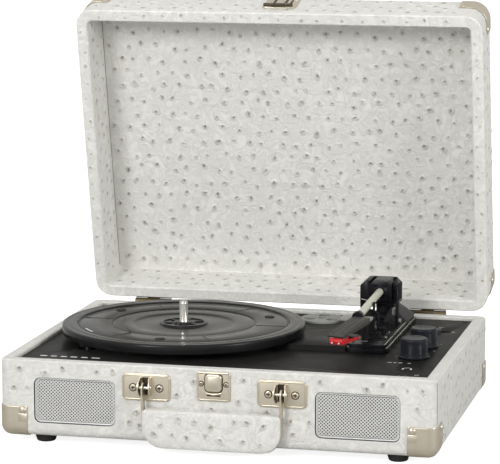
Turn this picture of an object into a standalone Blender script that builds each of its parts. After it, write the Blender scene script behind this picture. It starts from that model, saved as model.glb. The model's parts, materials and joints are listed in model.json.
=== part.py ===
"""Suitcase record player: a vinyl-covered case with a hinged lid, a belt-driven platter, a tonearm
with its lift, two speakers, controls, a carrying handle and a latch.

Lengths are written in millimetres and scaled once, by MM, when a mesh is made. The case is laid out
round its own centre: +X right, +Y back, +Z up, z = 0 on the surface that the feet stand on. The lid
is laid out closed and turned open by its pivot. FRAME_SHIFT moves the whole player along Y, so that
the origin is under the middle of the open player's box.
"""

import math

import bmesh
import bpy
from mathutils import Matrix, Vector

MM = 0.001
GAP = 0.3

# Driving dimensions of the case.
WIDTH = 355.0
DEPTH = 268.0
FOOT_HEIGHT = 7.0
RIM_Z = 69.0
WALL = 10.0
FLOOR = 5.0
CASE_CORNER = 7.0
LID_CORNER = 14.0
EDGE_ROUND = 6.0
LID_HEIGHT = 48.6
LID_GAP = 0.4
LID_TOP_THICK = 5.0
LID_OPEN = math.radians(77.5)
FRAME_SHIFT = -18.56

HALF_W = WIDTH / 2
HALF_D = DEPTH / 2
FRONT = -HALF_D
BACK = HALF_D
LID_RIM_Z = RIM_Z + LID_GAP
LID_TOP_Z = LID_RIM_Z + LID_HEIGHT

# Deck and drive.
DECK_TOP = 66.0
DECK_THICK = 4.0
DECK_UNDER = DECK_TOP - DECK_THICK
PLATTER_AT = (-60.0, 0.0)
PLATTER_R = 102.0
PLATTER_TOP = 79.5
DRUM_R = 80.0
PULLEY_R = 5.0
PULLEY_REACH = 92.0
PULLEY_ANGLE = math.radians(225)
PULLEY_AT = (
    PLATTER_AT[0] + PULLEY_REACH * math.cos(PULLEY_ANGLE),
    PLATTER_AT[1] + PULLEY_REACH * math.sin(PULLEY_ANGLE),
)
SPINDLE_R = 3.6
SPINDLE_TOP = 97.5

# Tonearm.
ARM_PIVOT = (94.5, 94.0)
ARM_AXIS_Z = 98.0
ARM_TUBE_R = 3.2
HEAD_AT = (99.0, -33.0)
HEAD_TURN = math.radians(-17)
STYLUS_Z = 80.8
REST_Y = 20.0
CLIP_AXIS = (101.6, 90.0)
CUE_AT = (111.0, 62.0, 76.0)
LIFT_POST = (98.0, -16.0)
BASE_TOP = 73.0
BASE_AT = (102.0, 41.5)
BASE_SIZE = (34.0, 147.0)
YOKE_FLOOR = 86.5
YOKE_TOP = 106.8
YOKE_X = (-18.5, 14.0)
YOKE_Y = (-17.0, 7.0)

# Controls.
VOLUME_AT = (143.0, -39.0)
SELECTOR_AT = (143.5, 5.0)
KNOB_R = 11.0
KNOB_TOP = 82.5
SWITCH_AT = (148.0, 72.0)
SWITCH_SLOT = (14.0, 8.0)
JACK_AT = (146.0, -112.0)
ADAPTER_AT = (38.0, 101.0)
ADAPTER_R = 19.0

# Front furniture.
GRILLE_X = 115.0
GRILLE_SIZE = (67.0, 36.5)
GRILLE_Z = 36.75
GRILLE_CORNER = 5.0
HANDLE_X = 55.0
HANDLE_AXIS = (FRONT - 7.5, 53.0)
BRACKET_SIZE = (40.0, 22.0)
BRACKET_Z = 52.0
GRIP_TOP = 38.0
GRIP_CORNER = 15.7
GRIP_THICK = 11.0
STRAP_X = 55.3
STRAP_THICK = 1.6
LATCH_SIZE = (27.3, 23.7)
LATCH_Z = 55.15
HASP_AXIS = (FRONT - 3.3, 83.5)

# Hinges and feet.
LID_AXIS = (BACK + 3.0, RIM_Z)
HINGE_X = (108.0, 141.0)
KNUCKLE_R = 2.6
PIN_R = 1.0
FOOT_AT = (144.5, 116.0)

# Corner caps and the openings in the back wall.
CAP_REACH = 24.0
CAP_HEIGHT = 25.0
CAP_SHEET = 1.2
REAR_HOLE_Z = 34.0
REAR_HOLES = ((-130.0, 5.2), (-98.0, 5.2), (-82.0, 5.2))

MATERIALS = {
    "vinyl": ((0.73, 0.72, 0.68), 0.5, 0.0),
    "satin_nickel": ((0.62, 0.58, 0.51), 0.32, 1.0),
    "deck_black": ((0.025, 0.025, 0.026), 0.4, 0.0),
    "gloss_black": ((0.012, 0.012, 0.013), 0.22, 0.0),
    "dark_grey": ((0.035, 0.037, 0.04), 0.42, 0.0),
    "grille_silver": ((0.72, 0.72, 0.72), 0.35, 1.0),
    "chrome": ((0.8, 0.8, 0.8), 0.1, 1.0),
    "brass": ((0.7, 0.52, 0.24), 0.3, 1.0),
    "arm_silver": ((0.56, 0.56, 0.47), 0.35, 0.6),
    "stylus_red": ((0.65, 0.03, 0.03), 0.4, 0.0),
    "rubber": ((0.012, 0.012, 0.012), 0.8, 0.0),
    "speaker_black": ((0.02, 0.02, 0.02), 0.7, 0.0),
    "steel": ((0.5, 0.5, 0.5), 0.35, 1.0),
    "board_green": ((0.03, 0.16, 0.06), 0.5, 0.0),
    "jack_black": ((0.015, 0.015, 0.015), 0.35, 0.0),
}


# ---------------------------------------------------------------- scene and objects


def clear_scene():
    for old in list(bpy.data.objects):
        bpy.data.objects.remove(old, do_unlink=True)


def material(name):
    found = bpy.data.materials.get(name)
    if found:
        return found
    colour, roughness, metallic = MATERIALS[name]
    made = bpy.data.materials.new(name)
    made.use_nodes = True
    shader = made.node_tree.nodes["Principled BSDF"]
    shader.inputs["Base Color"].default_value = (*colour, 1)
    shader.inputs["Roughness"].default_value = roughness
    shader.inputs["Metallic"].default_value = metallic
    return made


def link(obj, at, parent):
    """Places an object whose mesh is laid out round at, in millimetres, under a pivot."""
    obj["laid_at"] = tuple(at)
    bpy.context.scene.collection.objects.link(obj)
    obj.parent = parent
    base = Vector(parent["laid_at"]) if parent else Vector()
    obj.location = (Vector(at) - base) * MM
    return obj


def pivot(name, at, parent, turn_x=0.0):
    empty = link(bpy.data.objects.new(name, None), at, parent)
    empty.rotation_euler = (turn_x, 0, 0)
    return empty


def mesh_of(name, bm, at):
    bmesh.ops.recalc_face_normals(bm, faces=bm.faces)
    bmesh.ops.translate(bm, verts=bm.verts, vec=-Vector(at))
    bmesh.ops.scale(bm, verts=bm.verts, vec=(MM, MM, MM))
    mesh = bpy.data.meshes.new(name)
    bm.to_mesh(mesh)
    bm.free()
    return mesh


def node(name, bm, look, parent, at=None):
    """One named piece. Its origin is its pivot's, or the middle of its own box on a fixed piece."""
    if at is None:
        corners = [v.co for v in bm.verts]
        low = Vector(min(c[k] for c in corners) for k in range(3))
        high = Vector(max(c[k] for c in corners) for k in range(3))
        at = (low + high) / 2
    obj = link(bpy.data.objects.new(name, mesh_of(name, bm, at)), at, parent)
    obj.data.materials.append(material(look))
    obj.data.shade_smooth()
    obj.data.set_sharp_from_angle(angle=math.radians(35))
    return obj


def shape_with(obj, operation, bm):
    """Cuts or joins a helper shape, which is laid out in the same place as the object."""
    at = obj["laid_at"]
    tool = bpy.data.objects.new(obj.name + "_tool", mesh_of(obj.name + "_tool", bm, at))
    link(tool, at, obj.parent)
    tool.hide_render = True
    tool.display_type = "WIRE"
    step = obj.modifiers.new(operation.lower(), "BOOLEAN")
    step.operation = operation
    step.solver = "EXACT"
    step.object = tool


def cut(obj, bm):
    shape_with(obj, "DIFFERENCE", bm)


def join(obj, bm):
    shape_with(obj, "UNION", bm)


# ---------------------------------------------------------------- shapes


def rounded(centre, size, radius, steps=4):
    """Points round a rectangle with rounded corners, anticlockwise."""
    radius = max(radius, 0.05)
    half = (size[0] / 2 - radius, size[1] / 2 - radius)
    points = []
    for quarter, (sx, sy) in enumerate(((1, 1), (-1, 1), (-1, -1), (1, -1))):
        for i in range(steps + 1):
            a = math.radians(90) * (quarter + i / steps)
            x = centre[0] + sx * half[0] + radius * math.cos(a)
            y = centre[1] + sy * half[1] + radius * math.sin(a)
            points.append((x, y))
    return points


def circle(centre, radius, steps=24):
    turns = (2 * math.pi * i / steps for i in range(steps))
    return [(centre[0] + radius * math.cos(a), centre[1] + radius * math.sin(a)) for a in turns]


def box_outline(low, high):
    return [(low[0], low[1]), (high[0], low[1]), (high[0], high[1]), (low[0], high[1])]


def loft(rings, closed=False, bm=None):
    """Joins rings of equally many points, and caps the ends unless the last meets the first."""
    bm = bm or bmesh.new()
    made = [[bm.verts.new(p) for p in ring] for ring in rings]
    pairs = list(zip(made, made[1:]))
    if closed:
        pairs.append((made[-1], made[0]))
    else:
        bm.faces.new(made[0])
        bm.faces.new(made[-1])
    for low, high in pairs:
        for i in range(len(low)):
            j = (i + 1) % len(low)
            bm.faces.new((low[i], low[j], high[j], high[i]))
    return bm


def prism(outline, normal, start, end, bm=None):
    """Extrudes an outline along the axis called normal; the outline is in the other two, in order."""
    order = {"x": lambda p, t: (t, p[0], p[1]), "y": lambda p, t: (p[0], t, p[1])}
    order["z"] = lambda p, t: (p[0], p[1], t)
    place = order[normal]
    return loft([[place(p, t) for p in outline] for t in (start, end)], bm=bm)


def box(low, high, bm=None):
    return prism(box_outline(low, high), "z", low[2], high[2], bm)


def turned(profile, centre, steps=32, axis="z", bm=None):
    """Turns (radius, height) points round an axis. A profile that starts and ends at radius 0 is
    solid to the axis; any other is a ring."""
    place = {
        "z": lambda r, c, s, h: (centre[0] + r * c, centre[1] + r * s, h),
        "y": lambda r, c, s, h: (centre[0] + r * c, h, centre[1] + r * s),
        "x": lambda r, c, s, h: (h, centre[0] + r * c, centre[1] + r * s),
    }[axis]
    bm = bm or bmesh.new()
    angles = [2 * math.pi * i / steps for i in range(steps)]
    rings = []
    for r, h in profile:
        if r == 0:
            rings.append([bm.verts.new(place(0, 0, 0, h))])
        else:
            rings.append([bm.verts.new(place(r, math.cos(a), math.sin(a), h)) for a in angles])
    solid = profile[0][0] == 0
    pairs = list(zip(rings, rings[1:]))
    if not solid:
        pairs.append((rings[-1], rings[0]))
    for low, high in pairs:
        for i in range(steps):
            j = (i + 1) % steps
            corners = [low[i % len(low)], low[j % len(low)], high[j % len(high)], high[i % len(high)]]
            bm.faces.new(list(dict.fromkeys(corners)))
    return bm


def cylinder(centre, radius, start, end, steps=24, axis="z", bm=None):
    profile = [(0, start), (radius, start), (radius, end), (0, end)]
    return turned(profile, centre, steps, axis, bm)


def tray_rings(corner, inset, open_z, closed_z, edge, steps=4):
    """Rings from the middle of a tray's closed side, over its rounded edge, to its open side."""
    way = 1 if open_z > closed_z else -1
    rings = []
    for i in range(steps + 1):
        a = math.radians(90) * i / steps
        pull = inset + edge * (1 - math.sin(a))
        z = closed_z + way * edge * (1 - math.cos(a))
        size = (WIDTH - 2 * pull, DEPTH - 2 * pull)
        rings.append([(x, y, z) for x, y in rounded((0, 0), size, corner - pull)])
    size = (WIDTH - 2 * inset, DEPTH - 2 * inset)
    rings.append([(x, y, open_z) for x, y in rounded((0, 0), size, corner - inset)])
    return rings


def tray(corner, wall, open_z, closed_z, thick):
    """A rounded box that is open on one side, as one closed wall."""
    way = 1 if open_z > closed_z else -1
    soften = 1.0
    outside = tray_rings(corner, 0, open_z - way * soften, closed_z, EDGE_ROUND)
    inside = tray_rings(corner, wall, open_z - way * soften, closed_z + way * thick, 0.5, 1)
    rim = [
        [(x, y, open_z) for x, y in rounded((0, 0), (WIDTH - 2 * p, DEPTH - 2 * p), corner - p)]
        for p in (soften, wall - soften)
    ]
    return loft(outside + rim + inside[::-1])


# ---------------------------------------------------------------- case


def make_case(root):
    floor_z = FOOT_HEIGHT
    shell = node("base_shell", tray(CASE_CORNER, WALL, RIM_Z, floor_z, FLOOR), "vinyl", root)
    for side in (-1, 1):
        hole = rounded((side * GRILLE_X, GRILLE_Z), GRILLE_SIZE, GRILLE_CORNER)
        cut(shell, prism(hole, "y", FRONT - 5, FRONT + WALL + 2))
    for x, radius in REAR_HOLES:
        cut(shell, cylinder((x, REAR_HOLE_Z), radius, BACK - WALL - 2, BACK + 2, 20, "y"))

    inside = (WIDTH - 2 * WALL - 2 * GAP, DEPTH - 2 * WALL - 2 * GAP)
    outline = rounded((0, 0), inside, 1.5)
    deck = node("deck_plate", prism(outline, "z", DECK_UNDER, DECK_TOP), "deck_black", root)
    join(deck, box((24, -30, DECK_TOP - 1), (84.5, 12, 70.5)))
    through = (DECK_UNDER - 2, DECK_TOP + 2)
    for centre, radius in (
        (PLATTER_AT, SPINDLE_R + 0.4),
        (PULLEY_AT, 8.0),
        (VOLUME_AT, 3.6),
        (SELECTOR_AT, 3.6),
        (JACK_AT, 4.3),
        (LIFT_POST, 4.0),
    ):
        cut(deck, cylinder(centre, radius, *through, 16))
    cut(deck, cylinder(ADAPTER_AT, ADAPTER_R + 1, DECK_TOP - 2, DECK_TOP + 2, 32))
    cut(deck, prism(rounded(SWITCH_AT, SWITCH_SLOT, 1.5), "z", *through))

    for side, label in ((-1, "left"), (1, "right")):
        plate = rounded(
            (side * GRILLE_X, GRILLE_Z),
            (GRILLE_SIZE[0] - 2 * GAP, GRILLE_SIZE[1] - 2 * GAP),
            GRILLE_CORNER - GAP,
        )
        look = "grille_silver"
        node("speaker_grille_" + label, prism(plate, "y", FRONT + 0.8, FRONT + 1.8), look, root)
        node("speaker_" + label, speaker(side * GRILLE_X), "speaker_black", root)

    for side, x_name in ((-1, "left"), (1, "right")):
        for end, y_name in ((-1, "front"), (1, "rear")):
            centre = (side * FOOT_AT[0], end * FOOT_AT[1])
            top = floor_z - GAP
            profile = [(0, 0), (6.3, 0), (7, 0.7), (8, top), (0, top)]
            name = f"foot_{y_name}_{x_name}"
            node(name, turned(profile, centre, 20), "rubber", root)
            cap = corner_cap(CASE_CORNER, RIM_Z, floor_z, side, end)
            node(f"case_corner_{y_name}_{x_name}", cap, "satin_nickel", root)


def speaker(x):
    """An oval frame, its basket and its magnet as one, with the cone's hollow in front."""
    front = FRONT + WALL + GAP
    rings = []
    for depth, wide, high, corner in (
        (9, 26, 18, 8.9),
        (0, 60, 38, 18),
        (0, 70, 44, 19),
        (4, 70, 44, 19),
        (4, 58, 38, 18),
        (16, 34, 30, 14.9),
        (17, 34, 34, 16.9),
        (28, 34, 34, 16.9),
    ):
        outline = rounded((x, GRILLE_Z), (wide, high), corner)
        rings.append([(px, front + depth, pz) for px, pz in outline])
    return loft(rings)


def corner_cap(corner, open_z, closed_z, side, end):
    """A pressed metal cap over one corner of a tray: a thin skin that is cut off square."""
    way = 1 if open_z > closed_z else -1
    skin = bmesh.new()
    steps = 4
    outer, inner = [], []
    for out, rings in ((CAP_SHEET, outer), (GAP, inner)):
        edge = EDGE_ROUND + out
        bottom = closed_z - way * out
        for i in range(-1, steps + 2):
            a = math.radians(90) * min(max(i, 0), steps) / steps
            pull = edge * (1 - math.sin(a)) - out
            z = bottom + way * edge * (1 - math.cos(a))
            if i < 0:
                pull = CAP_REACH
            if i > steps:
                z = closed_z + way * CAP_HEIGHT
            rings.append(cap_arc(corner, pull, side, end, z))
    rows = outer + inner[::-1]
    made = [[skin.verts.new(p) for p in row] for row in rows]
    for k in range(len(made)):
        here, there = made[k], made[(k + 1) % len(made)]
        for i in range(len(here) - 1):
            skin.faces.new((here[i], here[i + 1], there[i + 1], there[i]))
    for end_of in (0, -1):
        skin.faces.new([row[end_of] for row in made])
    bmesh.ops.remove_doubles(skin, verts=skin.verts, dist=0.001)
    return skin


def cap_arc(corner, pull, side, end, z):
    """The corner's L-shaped arc, pulled in from the case's outline, with its reach along each wall."""
    steps = 5
    x_far = HALF_W - pull
    y_far = HALF_D - pull
    radius = max(corner - pull, 0.3)
    radius = min(radius, max(CAP_REACH - pull, 0.0))
    points = [(HALF_W - CAP_REACH, y_far)]
    for i in range(steps + 1):
        a = math.radians(90) * (1 - i / steps)
        x = x_far - radius + radius * math.cos(a)
        points.append((x, y_far - radius + radius * math.sin(a)))
    points.append((x_far, HALF_D - CAP_REACH))
    return [(side * px, end * py, z) for px, py in points]


# ---------------------------------------------------------------- lid


def make_lid(root):
    lid = pivot("lid_pivot", (0, *LID_AXIS), root, -LID_OPEN)
    at = lid["laid_at"]
    shell = tray(LID_CORNER, WALL, LID_RIM_Z, LID_TOP_Z, LID_TOP_THICK)
    node("lid_shell", shell, "vinyl", lid, at)
    for side, x_name in ((-1, "left"), (1, "right")):
        for end, y_name in ((-1, "front"), (1, "rear")):
            cap = corner_cap(LID_CORNER, LID_RIM_Z, LID_TOP_Z, side, end)
            node(f"lid_corner_{y_name}_{x_name}", cap, "satin_nickel", lid, at)
        make_hinge(root, lid, side, x_name)
    make_hasp(lid)


def make_hinge(root, lid, side, label):
    """A butt hinge: the case's leaf with the outer knuckles and the pin, the lid's with the inner."""
    span = sorted((side * HINGE_X[0], side * HINGE_X[1]))
    third = (span[1] - span[0]) / 3
    inner = (span[0] + third, span[1] - third)
    leaf_y = (BACK + GAP, BACK + GAP + 1.0)
    axis_y, axis_z = LID_AXIS

    plate = box((span[0], leaf_y[0], 48), (span[1], leaf_y[1], axis_z - KNUCKLE_R - 0.7))
    base = node("hinge_base_leaf_" + label, plate, "satin_nickel", root)
    for low, high in ((span[0], inner[0] - GAP), (inner[1] + GAP, span[1])):
        join(base, box((low, leaf_y[0], axis_z - 4), (high, leaf_y[1], axis_z)))
        join(base, cylinder((axis_y, axis_z), KNUCKLE_R, low, high, 20, "x"))
    join(base, cylinder((axis_y, axis_z), PIN_R, span[0] + 1, span[1] - 1, 16, "x"))

    at = lid["laid_at"]
    top = axis_z + 21
    plate = box((span[0], leaf_y[0], axis_z + KNUCKLE_R + 0.5), (span[1], leaf_y[1], top))
    leaf = node("hinge_lid_leaf_" + label, plate, "satin_nickel", lid, at)
    join(leaf, box((inner[0], leaf_y[0], axis_z), (inner[1], leaf_y[1], axis_z + 4)))
    join(leaf, cylinder((axis_y, axis_z), KNUCKLE_R, *inner, 20, "x"))
    cut(leaf, cylinder((axis_y, axis_z), PIN_R + GAP, inner[0] - 1, inner[1] + 1, 16, "x"))


def make_hasp(lid):
    """The lid's half of the latch: a plate, and a flap that folds down over the case's catch."""
    at = lid["laid_at"]
    axis_y, axis_z = HASP_AXIS
    knuckle = 1.8
    pin = 0.7
    outline = rounded((0, 97.0), (29, 29), 4)
    plate = prism(outline, "y", FRONT - GAP, FRONT - GAP - 1.0)
    plate = node("hasp_plate", plate, "satin_nickel", lid, at)
    for low, high in ((-9.0, -4.5), (4.5, 9.0)):
        join(plate, cylinder((axis_y, axis_z), knuckle, low, high, 16, "x"))
        join(plate, box((low, axis_y, axis_z - 1), (high, FRONT - GAP - 0.5, axis_z + 1)))
    join(plate, cylinder((axis_y, axis_z), pin, -8, 8, 12, "x"))

    swing = pivot("hasp_pivot", (0, axis_y, axis_z), lid)
    flap_y = (axis_y + 0.6, axis_y + 1.6)
    outline = rounded((0, 96.2), (17, 20.4), 3)
    flap = prism(outline, "y", *flap_y)
    flap = node("hasp_flap", flap, "satin_nickel", swing, swing["laid_at"])
    join(flap, box((-4.2, flap_y[0], axis_z), (4.2, flap_y[1], axis_z + 4)))
    join(flap, cylinder((axis_y, axis_z), knuckle - 0.2, -4.2, 4.2, 16, "x"))
    cut(flap, cylinder((axis_y, axis_z), pin + GAP, -6, 6, 12, "x"))


# ---------------------------------------------------------------- front furniture


def make_latch(root):
    outline = rounded((0, LATCH_Z), LATCH_SIZE, 2.5)
    plate = prism(outline, "y", FRONT - GAP, FRONT - GAP - 1.0)
    plate = node("latch_plate", plate, "satin_nickel", root)
    tongue = rounded((0, 58.4), (13.7, 14.1), 3)
    join(plate, prism(tongue, "y", FRONT - 0.8, FRONT - 3.4))
    join(plate, box((-6, FRONT - 2.8, 48.8), (6, FRONT - 0.8, 50.3)))


def make_handle(root):
    axis_y, axis_z = HANDLE_AXIS
    for side, label in ((-1, "left"), (1, "right")):
        x = side * HANDLE_X
        outline = rounded((x, BRACKET_Z), BRACKET_SIZE, 4)
        plate = prism(outline, "y", FRONT - GAP, FRONT - GAP - 1.2)
        plate = node("handle_bracket_" + label, plate, "satin_nickel", root)
        for ear in (-1, 1):
            arc = [(axis_y - 4 * math.sin(a), axis_z - 7.5 * math.cos(a)) for a in half_turn(10)]
            outline = [(FRONT - 0.8, axis_z - 7.5), *arc, (FRONT - 0.8, axis_z + 7.5)]
            low, high = sorted((x + ear * 3.3, x + ear * 4.3))
            join(plate, prism(outline, "x", low, high))
        join(plate, cylinder((axis_y, axis_z), 1.2, x - 4, x + 4, 12, "x"))

    swing = pivot("handle_pivot", (0, axis_y, axis_z), root)
    at = swing["laid_at"]
    for side, label in ((-1, "left"), (1, "right")):
        outline = strap_outline()
        if side < 0:
            outline = [(-x, z) for x, z in outline]
        strap = prism(outline, "y", axis_y - 4, axis_y + 4)
        strap = node("handle_strap_" + label, strap, "satin_nickel", swing, at)
        eye = sorted((side * (HANDLE_X - 2.5), side * (HANDLE_X + 2.5)))
        join(strap, cylinder((axis_y, axis_z), 3.0, *eye, 20, "x"))
        cut(strap, cylinder((axis_y, axis_z), 1.5, eye[0] - 1, eye[1] + 1, 16, "x"))

    inset = STRAP_X - GAP
    corner_z = GRIP_TOP - 16
    turn = [math.radians(90) * i / 8 for i in range(9)]
    right = [
        (inset - GRIP_CORNER + GRIP_CORNER * math.cos(a), corner_z - GRIP_CORNER * math.sin(a))
        for a in turn
    ]
    left = [(-x, z) for x, z in right[::-1]]
    outline = [(inset - 1, GRIP_TOP), (inset, GRIP_TOP - 1), *right, *left]
    outline += [(-inset, GRIP_TOP - 1), (1 - inset, GRIP_TOP)]
    rings = []
    for y, pull in ((-1, 1.5), (-0.8, 0), (0.8, 0), (1, 1.5)):
        scale = ((inset - pull) / inset, 1 - pull / 16)
        mid_z = GRIP_TOP - 16
        depth = axis_y + y * GRIP_THICK / 2
        rings.append([(x * scale[0], depth, mid_z + (z - mid_z) * scale[1]) for x, z in outline])
    node("handle_grip", loft(rings), "vinyl", swing, at)


def half_turn(steps):
    return [math.pi * i / steps for i in range(steps + 1)]


def strap_outline():
    """The right-hand strap seen from the front: straight down, then round the grip's lower corner."""
    corner_z = GRIP_TOP - 16
    centre_x = STRAP_X - GAP - GRIP_CORNER
    inner_r = STRAP_X - centre_x
    outer_r = inner_r + STRAP_THICK
    turn = [math.radians(70) * i / 7 for i in range(8)]
    outer = [(centre_x + outer_r * math.cos(a), corner_z - outer_r * math.sin(a)) for a in turn]
    inner = [(centre_x + inner_r * math.cos(a), corner_z - inner_r * math.sin(a)) for a in turn]
    top = HANDLE_AXIS[1] - 1.8
    return [(STRAP_X + STRAP_THICK, top), *outer, *inner[::-1], (STRAP_X, top)]


# ---------------------------------------------------------------- drive


def make_drive(root):
    spin = pivot("platter_pivot", (*PLATTER_AT, 0), root)
    at = spin["laid_at"]
    top = PLATTER_TOP
    web = top - 4
    skirt = 71.5
    hub_low = 67.5
    profile = [
        (6.3, top - 0.5),
        (20, top - 0.5),
        (20.6, top - 1.3),
        (41, top - 1.7),
        (60, top - 0.7),
        (87.4, top - 0.7),
        (88.2, top),
        (100.6, top),
        (PLATTER_R, top - 1.4),
        (PLATTER_R, skirt),
        (99.6, skirt),
        (99.6, web),
        (DRUM_R, web),
        (DRUM_R, hub_low + 0.7),
        (DRUM_R - 2.5, hub_low + 0.7),
        (DRUM_R - 2.5, web),
        (14, web),
        (14, hub_low),
        (6.3, hub_low),
    ]
    node("platter", turned(profile, PLATTER_AT, 48), "gloss_black", spin, at)
    bush = [(SPINDLE_R + GAP, hub_low - 0.2), (6, hub_low - 0.2), (6, top), (SPINDLE_R + GAP, top)]
    node("platter_bush", turned(bush, PLATTER_AT, 16), "brass", spin, at)

    flange = DECK_TOP + GAP
    profile = [
        (0, SPINDLE_TOP),
        (2.0, SPINDLE_TOP - 0.5),
        (3.2, SPINDLE_TOP - 2),
        (SPINDLE_R, SPINDLE_TOP - 4.5),
        (SPINDLE_R, flange + 0.6),
        (9, flange + 0.6),
        (9, flange),
        (SPINDLE_R, flange),
        (SPINDLE_R, DECK_UNDER - 8),
        (0, DECK_UNDER - 8),
    ]
    node("spindle", turned(profile, PLATTER_AT, 16), "chrome", root)

    turn = pivot("pulley_pivot", (*PULLEY_AT, 0), root)
    bore = 1.5
    profile = [
        (bore, 74),
        (PULLEY_R + 0.8, 74),
        (PULLEY_R, 73.3),
        (PULLEY_R, 68.9),
        (PULLEY_R + 0.8, 68.2),
        (bore, 68.2),
    ]
    node("motor_pulley", turned(profile, PULLEY_AT, 24), "brass", turn, turn["laid_at"])
    profile = [
        (0, 73.8),
        (1.2, 73.8),
        (1.2, DECK_UNDER + 1),
        (4, DECK_UNDER + 1),
        (4, DECK_UNDER - GAP),
        (15, DECK_UNDER - GAP),
        (16, DECK_UNDER - 1.5),
        (16, 38),
        (15, 37),
        (0, 37),
    ]
    node("motor", turned(profile, PULLEY_AT, 20), "steel", root)
    node("drive_belt", belt(), "rubber", root)


def belt():
    """A flat belt round the platter's drum and the motor's pulley, straight between them."""
    spread = math.acos((DRUM_R - PULLEY_R) / PULLEY_REACH)
    low, high = 69.4, 72.8
    rings = []
    for out, z in ((0.6, low), (1.4, low), (1.4, high), (0.6, high)):
        points = []
        big = 36
        for i in range(big + 1):
            a = PULLEY_ANGLE + spread + (2 * math.pi - 2 * spread) * i / big
            x = PLATTER_AT[0] + (DRUM_R + out) * math.cos(a)
            points.append((x, PLATTER_AT[1] + (DRUM_R + out) * math.sin(a), z))
        small = 6
        for i in range(small + 1):
            a = PULLEY_ANGLE - spread + 2 * spread * i / small
            x = PULLEY_AT[0] + (PULLEY_R + out) * math.cos(a)
            points.append((x, PULLEY_AT[1] + (PULLEY_R + out) * math.sin(a), z))
        rings.append(points)
    return loft(rings, closed=True)


# ---------------------------------------------------------------- tonearm


def make_tonearm(root):
    low = DECK_TOP + GAP
    outline = rounded(BASE_AT, BASE_SIZE, 5)
    base = node("tonearm_base", prism(outline, "z", low, BASE_TOP), "deck_black", root)
    cut(base, cylinder(LIFT_POST, 2.9, low - 2, BASE_TOP + 2))

    profile = [(0, BASE_TOP + GAP), (11, BASE_TOP + GAP), (11, 76), (7.3, 78), (7.3, 86.2), (0, 86.2)]
    node("pivot_column", turned(profile, ARM_PIVOT, 28), "gloss_black", root)

    yaw = pivot("arm_yaw_pivot", (*ARM_PIVOT, 0), root)
    make_yoke(yaw)
    lift = pivot("arm_pitch_pivot", (*ARM_PIVOT, ARM_AXIS_Z), yaw)
    make_arm(lift)
    make_rest(root)
    make_cueing(root)


def chamfered(low, high, chamfer):
    """An outline with its two upper corners cut off."""
    return [
        (low[0], low[1]),
        (high[0], low[1]),
        (high[0], high[1] - chamfer),
        (high[0] - chamfer, high[1]),
        (low[0] + chamfer, high[1]),
        (low[0], high[1] - chamfer),
    ]


def make_yoke(yaw):
    """The turning housing: two cheeks on a floor and a back wall, round the arm's rear block."""
    x, y = ARM_PIVOT
    left, right = (x + side for side in YOKE_X)
    near, far = (y + side for side in YOKE_Y)
    outline = chamfered((left, YOKE_FLOOR), (right, YOKE_TOP), 4.5)
    yoke = node("arm_yoke", prism(outline, "y", near, far), "gloss_black", yaw, yaw["laid_at"])
    cut(yoke, box((x - 10, near - 2, YOKE_FLOOR + 3), (x + 10, far - 3, YOKE_TOP + 2)))
    wing = [(left, YOKE_FLOOR + 4), (left, 76), (x - 12, 74.5), (x - 11, YOKE_FLOOR + 2)]
    join(yoke, prism(wing, "y", near + 1, near + 13))


def make_arm(lift):
    x, y = ARM_PIVOT
    at = lift["laid_at"]
    outline = chamfered((x - 9.5, 90.4), (x + 9.5, YOKE_TOP + 0.3), 3)
    block = prism(outline, "y", y - 23.5, y + YOKE_Y[1] - 4)
    block = node("counterweight", block, "gloss_black", lift, at)
    cut(block, cylinder((x, 98.8), ARM_TUBE_R + 0.8, y - 25, y - 12, 20, "y"))

    head_y = HEAD_AT[1]
    rings = []
    for ty, tz, r in (
        (y - 12.5, 99.0, ARM_TUBE_R),
        (head_y + 8, 95.5, ARM_TUBE_R),
        (head_y + 7.9, 95.5, ARM_TUBE_R + 1.1),
        (head_y + 2.2, 95.2, ARM_TUBE_R + 1.1),
    ):
        rings.append([(x + px, ty, tz + pz) for px, pz in circle((0, 0), r, 20)])
    node("arm_tube", loft(rings), "arm_silver", lift, at)

    crown = [(0, 96.2), (8, 95.6), (43, 90.0), (46, 88.4)]
    belly = [(45, 86.9), (30, 88.2), (4, 91), (0, 91.5)]
    head = node("headshell", side_piece(crown + belly, 7.4), "dark_grey", lift, at)
    join(head, turn_head(box((6.4, -40, 88.2), (16, -36, 89.6))))
    body = [(9, 90.2), (33, 87.5), (33, 84.6), (10, 84.6)]
    node("cartridge", side_piece(body, 6.5), "gloss_black", lift, at)
    holder = [(14, 84.2), (33.4, 84.2), (33.4, 87.3), (44, 86.5), (45.6, 84), (44.5, 81.3), (16, 81.3)]
    stylus = node("stylus", side_piece(holder, 5.5), "stylus_red", lift, at)
    needle = [(0, 83), (0.8, 83), (0.35, STYLUS_Z), (0, STYLUS_Z)]
    join(stylus, turn_head(turned(needle, (0, -40), 8)))


def side_piece(outline, half_width):
    """A piece of the head, from (distance forward, height) points, as wide as it is given."""
    flat = [(-forward, z) for forward, z in outline]
    return turn_head(prism(flat, "x", -half_width, half_width))


def turn_head(bm):
    """Moves a shape from the head's own line, forward along -Y from its joint, into the arm."""
    place = Matrix.Translation((*HEAD_AT, 0)) @ Matrix.Rotation(HEAD_TURN, 4, "Z")
    bmesh.ops.transform(bm, matrix=place, verts=bm.verts)
    return bm


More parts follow.
